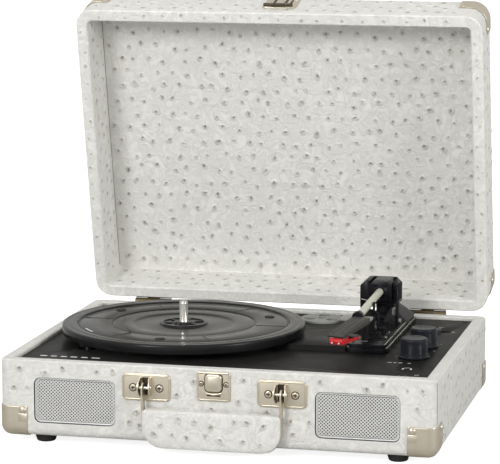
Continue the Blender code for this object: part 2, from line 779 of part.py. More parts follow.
def make_rest(root):
    """The arm's saddle with its stop on the right, and the clip that locks the arm down."""
    x = ARM_PIVOT[0]
    low = BASE_TOP + GAP
    rest = box((x - 7, REST_Y - 3.5, low), (x + 8, REST_Y + 3.5, 76))
    rest = node("arm_rest", rest, "dark_grey", root)
    join(rest, box((x - 4.5, REST_Y - 2, 75), (x + 4.2, REST_Y + 2, 92.6)))
    join(rest, box((x + 3.6, REST_Y - 2, 75), (x + 5.0, REST_Y + 2, 99)))
    axis_x, axis_z = CLIP_AXIS
    join(rest, cylinder((axis_x, axis_z), 1.0, REST_Y - 3.4, REST_Y, 12, "y"))
    join(rest, box((x + 4.0, REST_Y - 2, axis_z - 1), (axis_x + 0.8, REST_Y + 0.2, axis_z + 1)))

    fold = pivot("clip_pivot", (axis_x, REST_Y, axis_z), root)
    outline = [
        (axis_x + 2.4, axis_z + 1),
        (axis_x + 0.9, axis_z + 1),
        (axis_x + 0.9, axis_z - 13),
        (axis_x + 8.6, axis_z - 13),
        (axis_x + 8.6, axis_z - 11.5),
        (axis_x + 2.4, axis_z - 11.5),
    ]
    clip = prism(outline, "y", REST_Y - 6.2, REST_Y - 3.8)
    node("arm_clip", clip, "dark_grey", fold, fold["laid_at"])


def make_cueing(root):
    """The lift: a plate under the arm on a post that rises, and the lever that raises it."""
    rise = pivot("lift_pivot", (*LIFT_POST, 0), root)
    plate = prism(rounded((91.0, LIFT_POST[1]), (26, 16), 3), "z", 90.6, 92.2)
    plate = node("lift_plate", plate, "dark_grey", rise, rise["laid_at"])
    join(plate, cylinder(LIFT_POST, 2.5, 66.5, 91, 16))

    x, y, z = CUE_AT
    lever = pivot("cue_pivot", CUE_AT, root)
    right = [(y + 2.5, z - 1.5), (y + 2.5, z + 2), (y + 1.6, 92)]
    left = [(2 * y - a, b) for a, b in right[::-1]]
    blade = prism(right + left, "x", x - 1.3, x + 1.3)
    node("cue_lever", blade, "deck_black", lever, lever["laid_at"])


# ---------------------------------------------------------------- controls


def make_controls(root):
    for name, under, centre in (
        ("volume_knob", "volume_pot", VOLUME_AT),
        ("selector_knob", "selector_switch", SELECTOR_AT),
    ):
        turn = pivot(name + "_pivot", (*centre, 0), root)
        low = DECK_TOP + GAP
        profile = [
            (0, KNOB_TOP),
            (KNOB_R - 1.2, KNOB_TOP - 0.4),
            (KNOB_R, KNOB_TOP - 1.6),
            (KNOB_R + 0.2, 70.4),
            (KNOB_R + 1.5, 69.6),
            (KNOB_R + 1.5, low),
            (3.4, low),
            (3.4, 77),
            (0, 77),
        ]
        node(name, turned(profile, centre, 28), "dark_grey", turn, turn["laid_at"])
        body = [(0, 76.6), (3, 76.6), (3, DECK_UNDER - GAP), (8, DECK_UNDER - GAP), (8, 50), (0, 50)]
        node(under, turned(body, centre, 14), "steel", root)

    x, y = SWITCH_AT
    slide = pivot("switch_pivot", (x, y, DECK_TOP), root)
    stem = box((x - 6.6, y - 3.4, DECK_UNDER - 1), (x - 0.6, y + 3.4, 68.2))
    stem = node("speed_switch", stem, "jack_black", slide, slide["laid_at"])
    join(stem, box((x - 9, y - 6.5, DECK_UNDER - 4), (x + 2, y + 6.5, DECK_UNDER - GAP)))

    ring = [(1.9, DECK_TOP), (4, DECK_TOP), (4, DECK_UNDER - 12), (1.9, DECK_UNDER - 12)]
    node("headphone_jack", turned(ring, JACK_AT, 20), "jack_black", root)

    lift = pivot("adapter_pivot", (*ADAPTER_AT, 0), root)
    seat = DECK_TOP - 2 + GAP
    bore, top = SPINDLE_R + 0.2, seat + 3.4
    disc = turned([(bore, seat), (ADAPTER_R, seat), (ADAPTER_R, top), (bore, top)], ADAPTER_AT, 28)
    disc = node("adapter_45", disc, "dark_grey", lift, lift["laid_at"])
    for i in range(3):
        a = math.radians(90 + 120 * i)
        centre = (ADAPTER_AT[0] + 11.3 * math.cos(a), ADAPTER_AT[1] + 11.3 * math.sin(a))
        cut(disc, cylinder(centre, 5.2, seat - 1, seat + 5, 14))


def make_electrics(root):
    board = box((82, -70, 20), (162, 60, 21.6))
    board = node("circuit_board", board, "board_green", root)
    join(board, box((90, -20, 21), (112, 10, 30)))
    join(board, box((130, 20, 21), (150, 44, 28)))

    inlet_x = REAR_HOLES[0][0]
    ring = [(2.9, BACK + 0.4), (4.9, BACK + 0.4), (4.9, BACK - 22), (2.9, BACK - 22)]
    inlet = turned(ring, (inlet_x, REAR_HOLE_Z), 24, "y")
    inlet = node("dc_inlet", inlet, "jack_black", root)
    join(inlet, cylinder((inlet_x, REAR_HOLE_Z), 4.0, BACK - 22, BACK - 20, 20, "y"))
    join(inlet, cylinder((inlet_x, REAR_HOLE_Z), 1.0, BACK - 21, BACK - 2, 12, "y"))

    left, right = REAR_HOLES[1][0], REAR_HOLES[2][0]
    bar = box((left - 6, BACK - 22, REAR_HOLE_Z - 7), (right + 6, BACK - WALL - GAP, REAR_HOLE_Z + 7))
    sockets = node("rca_sockets", bar, "jack_black", root)
    for x in (left, right):
        join(sockets, cylinder((x, REAR_HOLE_Z), 4.1, BACK - WALL - 1, BACK + 9, 24, "y"))
        cut(sockets, cylinder((x, REAR_HOLE_Z), 1.7, BACK - 6, BACK + 10, 16, "y"))


def main():
    clear_scene()
    root = pivot("frame", (0, 0, 0), None)
    root.location = (0, FRAME_SHIFT * MM, 0)
    make_case(root)
    make_lid(root)
    make_latch(root)
    make_handle(root)
    make_drive(root)
    make_tonearm(root)
    make_controls(root)
    make_electrics(root)


main()
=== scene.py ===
"""Looks of the suitcase record player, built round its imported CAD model.

Pieces are laid out in millimetres round the middle of the case, with the lid closed, as the CAD is: +X right,
+Y back, +Z up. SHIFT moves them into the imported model's frame, and LID turns the lid's pieces open.
"""

import json
import random
from math import atan2, cos, dist, pi, radians, sin, sqrt, tau

import bpy
import bmesh
from mathutils import Matrix, Vector


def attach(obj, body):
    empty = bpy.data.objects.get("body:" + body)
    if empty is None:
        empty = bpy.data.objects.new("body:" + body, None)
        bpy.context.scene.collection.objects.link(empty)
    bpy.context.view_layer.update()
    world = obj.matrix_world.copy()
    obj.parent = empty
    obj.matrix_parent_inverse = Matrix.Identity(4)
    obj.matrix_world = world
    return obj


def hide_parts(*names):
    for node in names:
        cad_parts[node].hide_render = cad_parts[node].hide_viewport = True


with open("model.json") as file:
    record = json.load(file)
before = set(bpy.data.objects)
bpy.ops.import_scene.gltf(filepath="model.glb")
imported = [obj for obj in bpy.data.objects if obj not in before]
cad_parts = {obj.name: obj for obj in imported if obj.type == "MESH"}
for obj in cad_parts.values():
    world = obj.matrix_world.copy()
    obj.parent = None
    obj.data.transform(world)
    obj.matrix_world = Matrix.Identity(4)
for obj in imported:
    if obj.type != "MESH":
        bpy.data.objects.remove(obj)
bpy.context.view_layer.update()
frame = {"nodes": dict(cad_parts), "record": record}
nodes = frame["nodes"]

MM = 0.001
SHIFT = Vector((0, -18.56, 0))

# The case and its lid.
FRONT, BACK = -134, 134
HALF_W = 177.5
BASE_Z = 7
RIM_Z = 69
LID_TOP = 118
LID_OPEN = 77.5
LID_AXIS = Vector((0, BACK + 3, RIM_Z))
CASE_CORNER_R = 7
CAP_REACH, CAP_HEIGHT = 24, 25
HINGE_X = 124.5
GRILLE_X, GRILLE_Z = 115, 36.75

# The handle: its brackets, the pins in them, and the grip they carry.
HANDLE_X = 55
PIN_Z, PIN_OUT = 53, 7.5
GRIP_HALF_W, GRIP_TOP, GRIP_FOOT = 56.1, 36.2, 5.6

# The deck and what stands on it.
DECK_Z = 66
PLATTER_AT = (-60, 0)
JACK_AT = (146, -112)
ARM_X = 94.5

SIDES = (("left", -1), ("right", 1))
ENDS = (("front", -1), ("rear", 1))


def axes(u, v, w, at):
    """The transform that lays a local (u, v, w) point along those three directions from a point."""
    made = Matrix.Identity(4)
    for column, direction in enumerate((u, v, w, at)):
        for row in range(3):
            made[row][column] = direction[row]
    return made


def wall(x, y, away):
    """An upright face that looks along (x, y), that far from the middle. Its points are (along, up, out)."""
    return axes((-y, x, 0), (0, 0, 1), (x, y, 0), (x * away, y * away, 0))


FLAT = Matrix.Identity(4)
FRONT_WALL = wall(0, -1, -FRONT)
BACK_WALL = wall(0, 1, BACK)
RIGHT_WALL = wall(1, 0, HALF_W)
LEFT_WALL = wall(-1, 0, HALF_W)
LID_TURN = Matrix.Rotation(radians(-LID_OPEN), 4, "X")
LID = Matrix.Translation(LID_AXIS) @ LID_TURN @ Matrix.Translation(-LID_AXIS)


def place(x, y, z=0, turn=0):
    return Matrix.Translation((x, y, z)) @ Matrix.Rotation(radians(turn), 4, "Z")


# ---------- outlines


def circle(r, n=32):
    return [(r * cos(tau * k / n), r * sin(tau * k / n)) for k in range(n)]


def rounded(w, d, r, n=5):
    """A rectangle with round corners, counter-clockwise."""
    r = max(min(r, w / 2 - 0.01, d / 2 - 0.01), 0.01)
    points = []
    for quarter, (sx, sy) in enumerate(((1, 1), (-1, 1), (-1, -1), (1, -1))):
        for k in range(n + 1):
            a = pi / 2 * (quarter + k / n)
            points.append((sx * (w / 2 - r) + r * cos(a), sy * (d / 2 - r) + r * sin(a)))
    return points


def inset(outline, by):
    """The outline moved inwards, for one that runs counter-clockwise."""
    made = []
    n = len(outline)
    for k in range(n):
        before, here, after = (Vector(outline[(k + s) % n]) for s in (-1, 0, 1))
        one, two = here - before, after - here
        if one.length < 1e-6:
            one = two
        if two.length < 1e-6:
            two = one
        a = Vector((-one.y, one.x)).normalized()
        b = Vector((-two.y, two.x)).normalized()
        miter = (a + b) / max(0.4, 1 + a.dot(b))
        made.append(tuple(here + miter * by))
    return made


def soften(outline, r):
    """Rounds the corners of a polygon with short arcs."""
    made = []
    count = len(outline)
    for k in range(count):
        before, here, after = (Vector(outline[(k + s) % count]) for s in (-1, 0, 1))
        reach = min(r, (before - here).length * 0.45, (after - here).length * 0.45)
        one = here + (before - here).normalized() * reach
        two = here + (after - here).normalized() * reach
        for t in (0, 1 / 3, 2 / 3, 1):
            made.append(tuple(one * (1 - t) ** 2 + here * 2 * t * (1 - t) + two * t * t))
    return made


# ---------- shapes


def linked(name, data):
    made = bpy.data.objects.new(name, data)
    bpy.context.scene.collection.objects.link(made)
    return made


def weld_points(mesh, outwards=True):
    """Joins the points that meet, and turns the faces outwards where that is asked."""
    work = bmesh.new()
    work.from_mesh(mesh)
    bmesh.ops.remove_doubles(work, verts=work.verts, dist=2e-6)
    bmesh.ops.dissolve_degenerate(work, edges=work.edges, dist=1e-6)
    if outwards:
        bmesh.ops.recalc_face_normals(work, faces=work.faces)
    work.to_mesh(mesh)
    work.free()


class Shape:
    """Points in millimetres and the faces between them, gathered into one piece."""

    def __init__(self, turn=FLAT):
        self.turn = turn
        self.paint = 0
        self.points, self.faces, self.paints = [], [], []

    def add(self, points, faces, local=FLAT):
        start = len(self.points)
        whole = self.turn @ local
        self.points += [whole @ Vector(p) for p in points]
        self.faces += [[start + i for i in face] for face in faces]
        self.paints += [self.paint] * len(faces)

    def loft(self, rings, local=FLAT, caps=True):
        """Joins rings of equally many points, and closes the first and the last one with a face."""
        n = len(rings[0])
        faces = []
        for k in range(len(rings) - 1):
            for i in range(n):
                j = (i + 1) % n
                faces.append([k * n + i, k * n + j, (k + 1) * n + j, (k + 1) * n + i])
        if caps:
            faces.append(list(range(n))[::-1])
            faces.append([(len(rings) - 1) * n + i for i in range(n)])
        self.add([p for ring in rings for p in ring], faces, local)

    def lathe(self, profile, local=FLAT, n=48, closed=False):
        """Turns (radius, height) points about the local Z axis. A closed profile makes a ring."""
        turns = [tau * k / n for k in range(n)]
        rings = [[(r * cos(t), r * sin(t), z) for t in turns] for r, z in profile]
        if closed:
            rings.append(rings[0])
        self.loft(rings, local, caps=not closed)

    def stack(self, outline, levels, local=FLAT, caps=True):
        """An outline lofted through (height, inset) levels."""
        self.loft([[(x, y, z) for x, y in inset(outline, by)] for z, by in levels], local, caps)

    def slab(self, outline, low, high, local=FLAT, bevel=0.4, steps=3, under=0):
        """A plate with rounded upper edges, and lower ones where under is given."""
        turns = [pi / 2 * k / steps for k in range(steps + 1)]
        levels = [(low, 0)]
        if under:
            levels = [(low + under * (1 - cos(a)), under * (1 - sin(a))) for a in turns]
        levels += [(high - bevel * (1 - sin(a)), bevel * (1 - cos(a))) for a in turns]
        self.stack(outline, levels, local)

    def tube(self, path, r, local=FLAT, n=12, closed=False, flat=1):
        """A round bar along a path, or an oval one. r is a number, or one for each point."""
        path = [Vector(p) for p in path]
        count = len(path)
        turns = [tau * i / n for i in range(n)]
        rings, side = [], None
        for k, here in enumerate(path):
            ahead = path[(k + 1) % count] if closed else path[min(k + 1, count - 1)]
            behind = path[k - 1] if closed or k else path[0]
            along = (ahead - behind).normalized()
            if side is None:
                across = Vector((0, 0, 1)) if abs(along.z) < 0.9 else Vector((0, 1, 0))
                side = along.cross(across).normalized()
            side = (side - along * side.dot(along)).normalized()
            radius = r[k] if isinstance(r, list) else r
            wide, tall = side * radius, side.cross(along) * radius * flat
            rings.append([tuple(here + wide * cos(t) + tall * sin(t)) for t in turns])
        if closed:
            rings.append(rings[0])
        self.loft(rings, local, caps=not closed)

    def screw(self, r, local=FLAT, height=0.9):
        """A domed head with a cross recess."""
        dome = ((1, 0), (0.99, 0.25), (0.9, 0.62), (0.74, 0.88), (0.62, 0.95))
        half, reach = 0.11 * r, 0.5 * r
        corners = []
        for c, s in ((1, 0), (0, 1), (-1, 0), (0, -1)):
            for x, y in ((reach, -half), (reach, half), (half, half)):
                corners.append((x * c - y * s, x * s + y * c))
        cross = []
        for corner, after in zip(corners, corners[1:] + corners[:1]):
            one, two = Vector(corner), Vector(after)
            cross += [tuple(one), tuple((one + two) / 2)]
        angles = [atan2(y, x) for x, y in cross]
        rings = [[(r * f * cos(t), r * f * sin(t), height * g) for t in angles] for f, g in dome]
        rings.append([(x, y, height) for x, y in cross])
        rings.append([(x * 0.8, y * 0.8, height * 0.35) for x, y in cross])
        self.loft(rings, local)

    def build(self, name, body, materials, slot, replaces=(), angle=38, weld=True):
        """Makes the piece, lets it ride on its body, and says which CAD nodes it stands for."""
        mesh = bpy.data.meshes.new(name)
        mesh.from_pydata([(p + SHIFT) * MM for p in self.points], [], self.faces)
        for m in materials if isinstance(materials, list) else [materials]:
            mesh.materials.append(m)
        mesh.polygons.foreach_set("material_index", self.paints)
        if weld:
            weld_points(mesh)
        mesh.shade_smooth()
        mesh.set_sharp_from_angle(angle=radians(angle))
        made = linked(name, mesh)
        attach(made, body)
        if replaces:
            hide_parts(*replaces)
        return made


# ---------- materials


def rgba(value):
    """A colour with its alpha, or anything else as it is."""
    return (*value, 1) if isinstance(value, tuple) and len(value) == 3 else value


def fill(node, **sockets):
    """Sets constants straight on a node's sockets."""
    for key, value in sockets.items():
        node.inputs[key.replace("_", " ")].default_value = value


class Nodes:
    """A short way to write a node tree."""

    def __init__(self, name):
        self.material = bpy.data.materials.new(name)
        self.material.use_nodes = True
        self.tree = self.material.node_tree
        self.shader = self.tree.nodes["Principled BSDF"]
        self.where = self.node("ShaderNodeTexCoord").outputs["Object"]

    def node(self, kind, **settings):
        made = self.tree.nodes.new(kind)
        for key, value in settings.items():
            setattr(made, key, value)
        return made

    def link(self, value, socket):
        if hasattr(value, "links"):
            self.tree.links.new(value, socket)
        else:
            socket.default_value = value

    def noise(self, scale, detail=3, roughness=0.55, distortion=0, stretch=None):
        made = self.node("ShaderNodeTexNoise")
        fill(made, Scale=scale, Detail=detail, Roughness=roughness, Distortion=distortion)
        where = self.where
        if stretch:
            scaled = self.node("ShaderNodeMapping")
            fill(scaled, Scale=stretch)
            self.link(where, scaled.inputs["Vector"])
            where = scaled.outputs["Vector"]
        self.link(where, made.inputs["Vector"])
        return made.outputs["Fac"]

    def voronoi(self, scale):
        made = self.node("ShaderNodeTexVoronoi")
        fill(made, Scale=scale)
        self.link(self.where, made.inputs["Vector"])
        return made.outputs["Distance"]

    def ramp(self, value, low, high, to_low=0, to_high=1):
        made = self.node("ShaderNodeMapRange")
        self.link(value, made.inputs["Value"])
        fill(made, From_Min=low, From_Max=high, To_Min=to_low, To_Max=to_high)
        return made.outputs["Result"]

    def math(self, operation, one, two=0.5):
        made = self.node("ShaderNodeMath", operation=operation)
        self.link(one, made.inputs[0])
        self.link(two, made.inputs[1])
        return made.outputs["Value"]

    def mix(self, factor, one, two):
        made = self.node("ShaderNodeMix", data_type="RGBA")
        self.link(factor, made.inputs["Factor"])
        self.link(rgba(one), made.inputs[6])
        self.link(rgba(two), made.inputs[7])
        return made.outputs[2]

    def bump(self, height, distance, strength=1, under=None):
        made = self.node("ShaderNodeBump")
        fill(made, Strength=strength, Distance=distance * MM)
        self.link(height, made.inputs["Height"])
        if under is not None:
            self.link(under, made.inputs["Normal"])
        return made.outputs["Normal"]

    def set(self, **sockets):
        for key, value in sockets.items():
            self.link(rgba(value), self.shader.inputs[key.replace("_", " ")])
        return self.material


def vinyl(name="vinyl_ostrich", tone=1):
    """Embossed off-white leatherette: creased grain with painted shade in the creases, fine pores, and the
    quill marks' tint, which is each pit's own colour with painted shade fading out round it.
    """
    n = Nodes(name)
    creases = n.noise(88, 7, 0.66, 1.9)
    folds = n.ramp(n.math("ABSOLUTE", n.math("SUBTRACT", creases, 0.5)), 0, 0.1)
    pores = n.voronoi(700)
    clouds = n.noise(21, 4, 0.62, 0.6)
    tones = ((0.76, 0.754, 0.722), (0.59, 0.583, 0.545), (0.67, 0.666, 0.636))
    light, dark, clouded = (tuple(c * tone for c in colour) for colour in tones)
    # The creases are painted darker: painted shade in them.
    colour = n.mix(n.ramp(folds, 0, 1, 0.6, 0), light, dark)
    colour = n.mix(n.ramp(clouds, 0.35, 0.68, 0, 0.55), colour, clouded)
    # The marks' tint: each pit's own dark colour, and painted shade where it fades out over the bump.
    mark = n.node("ShaderNodeAttribute", attribute_name="pit_tint_and_shade").outputs["Fac"]
    ragged = n.math("MULTIPLY", mark, n.ramp(n.noise(650, 3), 0.32, 0.62, 0.5, 1.3))
    colour = n.mix(n.ramp(ragged, 0.06, 0.9, 0, 0.92), colour, (0.2, 0.174, 0.124))
    normal = n.bump(clouds, 1.8, 0.6)
    normal = n.bump(creases, 1, 0.8, normal)
    normal = n.bump(folds, 0.2, 0.75, normal)
    normal = n.bump(pores, 0.1, 0.5, normal)
    rough = n.ramp(n.noise(130, 4), 0.3, 0.7, 0.42, 0.6)
    fill(n.shader, Specular_IOR_Level=0.42)
    return n.set(Base_Color=colour, Roughness=rough, Normal=normal)


def metal(name, colour, rough, worn=0.12):
    """Plated pressed sheet: faint clouding, fine scratches, and a duller bloom."""
    n = Nodes(name)
    cloud = n.noise(60, 4, 0.6, 0.5)
    scratch = n.noise(420, 3, 0.7, 0, (0.08, 1, 1))
    tint = n.mix(n.ramp(cloud, 0.35, 0.7, 0, 1), colour, tuple(c * (1 - worn) for c in colour))
    bloom = n.ramp(cloud, 0.3, 0.7, rough - 0.05, rough + 0.07)
    spread = n.math("ADD", bloom, n.ramp(scratch, 0.45, 0.7, 0, 0.08))
    normal = n.bump(scratch, 0.02, 0.35, n.bump(cloud, 0.12, 0.25))
    fill(n.shader, Metallic=1)
    return n.set(Base_Color=tint, Roughness=spread, Normal=normal)


def plastic(name, colour, rough, grain=0.05, scale=900, dust=0.06, specular=0.5, coat=0, lift=1.5):
    """Moulded plastic: spark-eroded grain, slight clouding of the gloss, and dust on what faces up."""
    n = Nodes(name)
    fine = n.noise(scale, 4, 0.6)
    cloud = n.noise(38, 4, 0.6, 0.4)
    paler = tuple(min(1, c * lift + 0.006) for c in colour)
    tint = n.mix(n.ramp(cloud, 0.3, 0.75, 0, 0.6), colour, paler)
    up = n.node("ShaderNodeSeparateXYZ")
    n.link(n.node("ShaderNodeNewGeometry").outputs["Normal"], up.inputs[0])
    specks = n.ramp(n.noise(230, 5, 0.7), 0.5, 0.8, 0, dust)
    tint = n.mix(n.math("MULTIPLY", n.ramp(up.outputs["Z"], 0.6, 1), specks), tint, (0.3, 0.3, 0.29))
    gloss = n.ramp(cloud, 0.3, 0.7, rough - 0.04, rough + 0.06)
    spread = n.math("ADD", gloss, n.ramp(fine, 0.4, 0.7, 0, 0.05))
    fill(n.shader, Specular_IOR_Level=specular, Coat_Weight=coat, Coat_Roughness=0.18)
    return n.set(Base_Color=tint, Roughness=spread, Normal=n.bump(fine, grain, 0.4))


VINYL = vinyl()
# The lid's leatherette, painted 12% lighter than the case's: painted light, standing in for the stronger
# light on the lid.
VINYL_LID_PAINTED_LIGHTER = vinyl("vinyl_ostrich_lid_painted_lighter", 1.12)
SEAM = plastic("vinyl_seam", (0.22, 0.2, 0.165), 0.7, 0.05, 700)
NICKEL = metal("satin_nickel", (0.71, 0.645, 0.525), 0.33)
# Dark nickel for painted shade on the pressed plates: in gaps and recesses, round and in screws, on the
# hasp's knuckles and between the handle's ears.
NICKEL_PAINTED_SHADE = metal("nickel_painted_shade", (0.085, 0.068, 0.05), 0.5)
PRESSED = [NICKEL, NICKEL_PAINTED_SHADE]
BRASS_DARK = metal("hinge_brass", (0.11, 0.085, 0.05), 0.42)
CHROME = metal("polished_steel", (0.72, 0.7, 0.65), 0.12)
BRASS = metal("brass", (0.7, 0.52, 0.24), 0.28)
STEEL = metal("steel", (0.5, 0.5, 0.5), 0.35)
GRILLE = metal("grille_sheet", (0.92, 0.92, 0.915), 0.38, 0.05)
DECK = plastic("deck_satin", (0.0135, 0.013, 0.0125), 0.38, 0.04, 1300, dust=0.012, specular=0.05, lift=1.25)
GLOSS = plastic("gloss_black", (0.0075, 0.0075, 0.0095), 0.24, 0.012, 700, dust=0.005, specular=0.12)
PLATTER = plastic(
    "platter_black", (0.0125, 0.0122, 0.0125), 0.19, 0.012, 1100, dust=0.01, specular=0.19, lift=1.1
)
KNOB = plastic("knob_black", (0.011, 0.0125, 0.017), 0.27, 0.01, 900, dust=0.01, specular=0.16, lift=1.2)
GREY = plastic("moulded_grey", (0.017, 0.017, 0.018), 0.42, 0.04, 1000, dust=0.02, specular=0.25)
RIBBED = plastic("headshell_grey", (0.05, 0.049, 0.044), 0.42, 0.04, 1000, dust=0.02, specular=0.2)
MATT = plastic("matt_black", (0.008, 0.008, 0.009), 0.55, 0.04, 900, dust=0.01, specular=0.15)
PALE = plastic("lift_grey", (0.24, 0.24, 0.23), 0.45, 0.04, 1000, dust=0.02)
PAD = plastic("rubber_pad", (0.01, 0.01, 0.01), 0.8, 0.1, 500)
RUBBER = plastic("rubber_foot", (0.014, 0.014, 0.014), 0.7, 0.12, 500)
CONE = plastic("speaker_paper", (0.018, 0.018, 0.018), 0.8, 0.2, 300)
TUBE = plastic(
    "arm_tube_silver", (0.56, 0.565, 0.46), 0.32, 0.02, 800, dust=0, specular=0.6, coat=0.3, lift=1.1
)
RED = plastic("stylus_red", (0.62, 0.025, 0.03), 0.3, 0.02, 600, dust=0, lift=1.15)
PRINT = plastic("printed_white", (0.68, 0.68, 0.66), 0.6, 0.02, 1500, dust=0, lift=1.05)
WHITE = plastic("white_insert", (0.7, 0.7, 0.68), 0.4, 0.02, 700, dust=0, lift=1.05)
BOARD = plastic("board_green", (0.03, 0.16, 0.06), 0.45, 0.05, 400)
JACK = plastic("jack_black", (0.015, 0.015, 0.015), 0.32, 0.02, 900)

SLOT_LOOK = dict(
    vinyl=VINYL, satin_nickel=NICKEL, chrome=CHROME, brass=BRASS, steel=STEEL, grille_silver=GRILLE,
    deck_black=DECK, gloss_black=GLOSS, dark_grey=GREY, speaker_black=CONE, rubber=RUBBER, arm_silver=TUBE,
    stylus_red=RED, board_green=BOARD, jack_black=JACK,
)
NODE_LOOK = dict(
    lid_shell=VINYL_LID_PAINTED_LIGHTER, headshell=RIBBED, platter_bush=PLATTER, motor_pulley=BRASS_DARK,
    adapter_45=PALE, lift_plate=PALE, arm_rest=MATT, arm_clip=MATT, pivot_column=MATT,
)
NODE_LOOK.update((name, BRASS_DARK) for name in nodes if name.startswith("hinge_"))
EASED = dict(
    arm_yoke=0.7, counterweight=0.7, headshell=0.4, stylus=0.4, deck_plate=0.4, cartridge=0.3, lift_plate=0.3,
    cue_lever=0.3, adapter_45=0.3, speed_switch=0.3, arm_rest=0.25, arm_clip=0.25,
)


def dress_cad():
    """Gives every CAD node its finish, welds its triangles and shades its curved faces smoothly."""
    slots = {row["node"]: row["material_slot"] for row in frame["record"]["subparts"]}
    for name, node in nodes.items():
        mesh = node.data
        mesh.materials.clear()
        mesh.materials.append(NODE_LOOK.get(name) or SLOT_LOOK[slots[name]])
        mesh.normals_split_custom_set([(0, 0, 0)] * len(mesh.loops))
        mesh.shade_smooth()
        weld = node.modifiers.new("weld", "WELD")
        weld.merge_threshold = 1e-6
        if name in EASED:
            edge = node.modifiers.new("edge", "BEVEL")
            edge.width, edge.segments = EASED[name] * MM, 2
            edge.limit_method, edge.angle_limit = "ANGLE", radians(35)
        split = node.modifiers.new("split", "EDGE_SPLIT")
        split.split_angle = radians(32)


dress_cad()

# ---------- embossed quill marks


def quill_marks(name, body, panels, seed, pitch=14.2, grow=1, rise=0.62):
    """Low crumpled bumps in the leatherette, each with a dark pit and painted shade fading out round it, on a
    jittered stagger over each panel.

    A panel is (its transform, (u0, u1), (v0, v1), [kept-out (u0, u1, v0, v1), ...])."""
    draw = random.Random(seed)
    heights = (0, 0.5, 1, 0.72, 0.26, -0.16)
    reaches = (0, 0.2, 0.42, 0.64, 0.84, 1)
    # How dark each ring is tinted: the pit's own colour at the middle, then painted shade fading out to the
    # foot.
    pit_tint_and_shade_by_ring = (1, 0.85, 0.46, 0.27, 0.13, 0)
    sides = 10
    last = len(reaches) - 1
    points, faces, marks = [], [], []

    def ruffle(ring, spread):
        """A random share, for the rings between the pit and the foot."""
        return 1 + draw.uniform(-spread, spread) * (0 < ring < last)

    def bump(turn, u, v, size, lean, long, depth):
        start = len(points)
        radius = 3.4 * size
        for ring, (height, reach) in enumerate(zip(heights, reaches)):
            pit = 0.24 * radius * (1 - reach)
            for k in range(1 if ring == 0 else sides):
                angle = tau * k / sides
                far = radius * reach * ruffle(ring, 0.2)
                x, y = far * long * cos(angle), far * sin(angle)
                du = x * cos(lean) - y * sin(lean)
                dv = x * sin(lean) + y * cos(lean) + pit
                up = rise * size * height * ruffle(ring, 0.42)
                points.append((turn @ Vector((u + du, v + dv, up)) + SHIFT) * MM)
                uneven = draw.uniform(0.4, 1.35) if 0 < ring < last else 1
                marks.append(pit_tint_and_shade_by_ring[ring] * depth * uneven)
        for k in range(sides):
            after = (k + 1) % sides
            faces.append((start, start + 1 + k, start + 1 + after))
            for low in range(start + 1, start + 1 + (last - 1) * sides, sides):
                high = low + sides
                faces.append((low + k, high + k, high + after, low + after))

    for turn, (u0, u1), (v0, v1), kept_out in panels:
        rows = max(1, round((v1 - v0) / (pitch * 0.88)))
        columns = max(1, round((u1 - u0) / pitch))
        for row in range(rows):
            v_row = v0 + (row + 0.5) * (v1 - v0) / rows
            shift = 0.25 if row % 2 else -0.25
            for column in range(columns):
                u = u0 + (column + 0.5 + shift) * (u1 - u0) / columns + draw.uniform(-0.24, 0.24) * pitch
                v = v_row + draw.uniform(-0.22, 0.22) * pitch
                size = draw.uniform(0.68, 1.12) * grow
                lean = draw.uniform(0, tau)
                long = draw.uniform(1, 1.45)
                depth = draw.uniform(0.65, 1)
                u, v = min(max(u, u0 + 2), u1 - 2), min(max(v, v0 + 2), v1 - 2)
                if not any(a < u < b and c < v < d for a, b, c, d in kept_out):
                    bump(turn, u, v, size, lean, long, depth)
    mesh = bpy.data.meshes.new(name)
    mesh.from_pydata(points, [], faces)
    mesh.materials.append(VINYL_LID_PAINTED_LIGHTER if body == "lid" else VINYL)
    mesh.shade_smooth()
    mesh.attributes.new("pit_tint_and_shade", "FLOAT", "POINT").data.foreach_set("value", marks)
    marked = linked(name, mesh)
    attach(marked, body)


def both(x, half, v0, v1):
    """The kept-out boxes of a pair of fittings, one on each side of a panel."""
    return [(s * x - half, s * x + half, v0, v1) for s in (-1, 1)]


CASE_ROWS = (12, 67)
CASE_ENDS = both(153, 47, -9, 36)
CASE_CAPS = both(174.5, 25.5, -9, 36)
FRONT_FITTINGS = both(GRILLE_X, 37, 15.5, 58) + both(HANDLE_X, 23, 38.5, 65) + [(-16.5, 16.5, 40.5, 70)]
BACK_FITTINGS = both(HINGE_X, 19, 44, 70) + [(74, 140, 24, 44)]
CASE_PANELS = [
    (FRONT_WALL, (-170, 170), CASE_ROWS, CASE_CAPS + FRONT_FITTINGS),
    (RIGHT_WALL, (-127, 127), CASE_ROWS, CASE_ENDS),
    (LEFT_WALL, (-127, 127), CASE_ROWS, CASE_ENDS),
    (BACK_WALL, (-170, 170), CASE_ROWS, CASE_CAPS + BACK_FITTINGS),
]

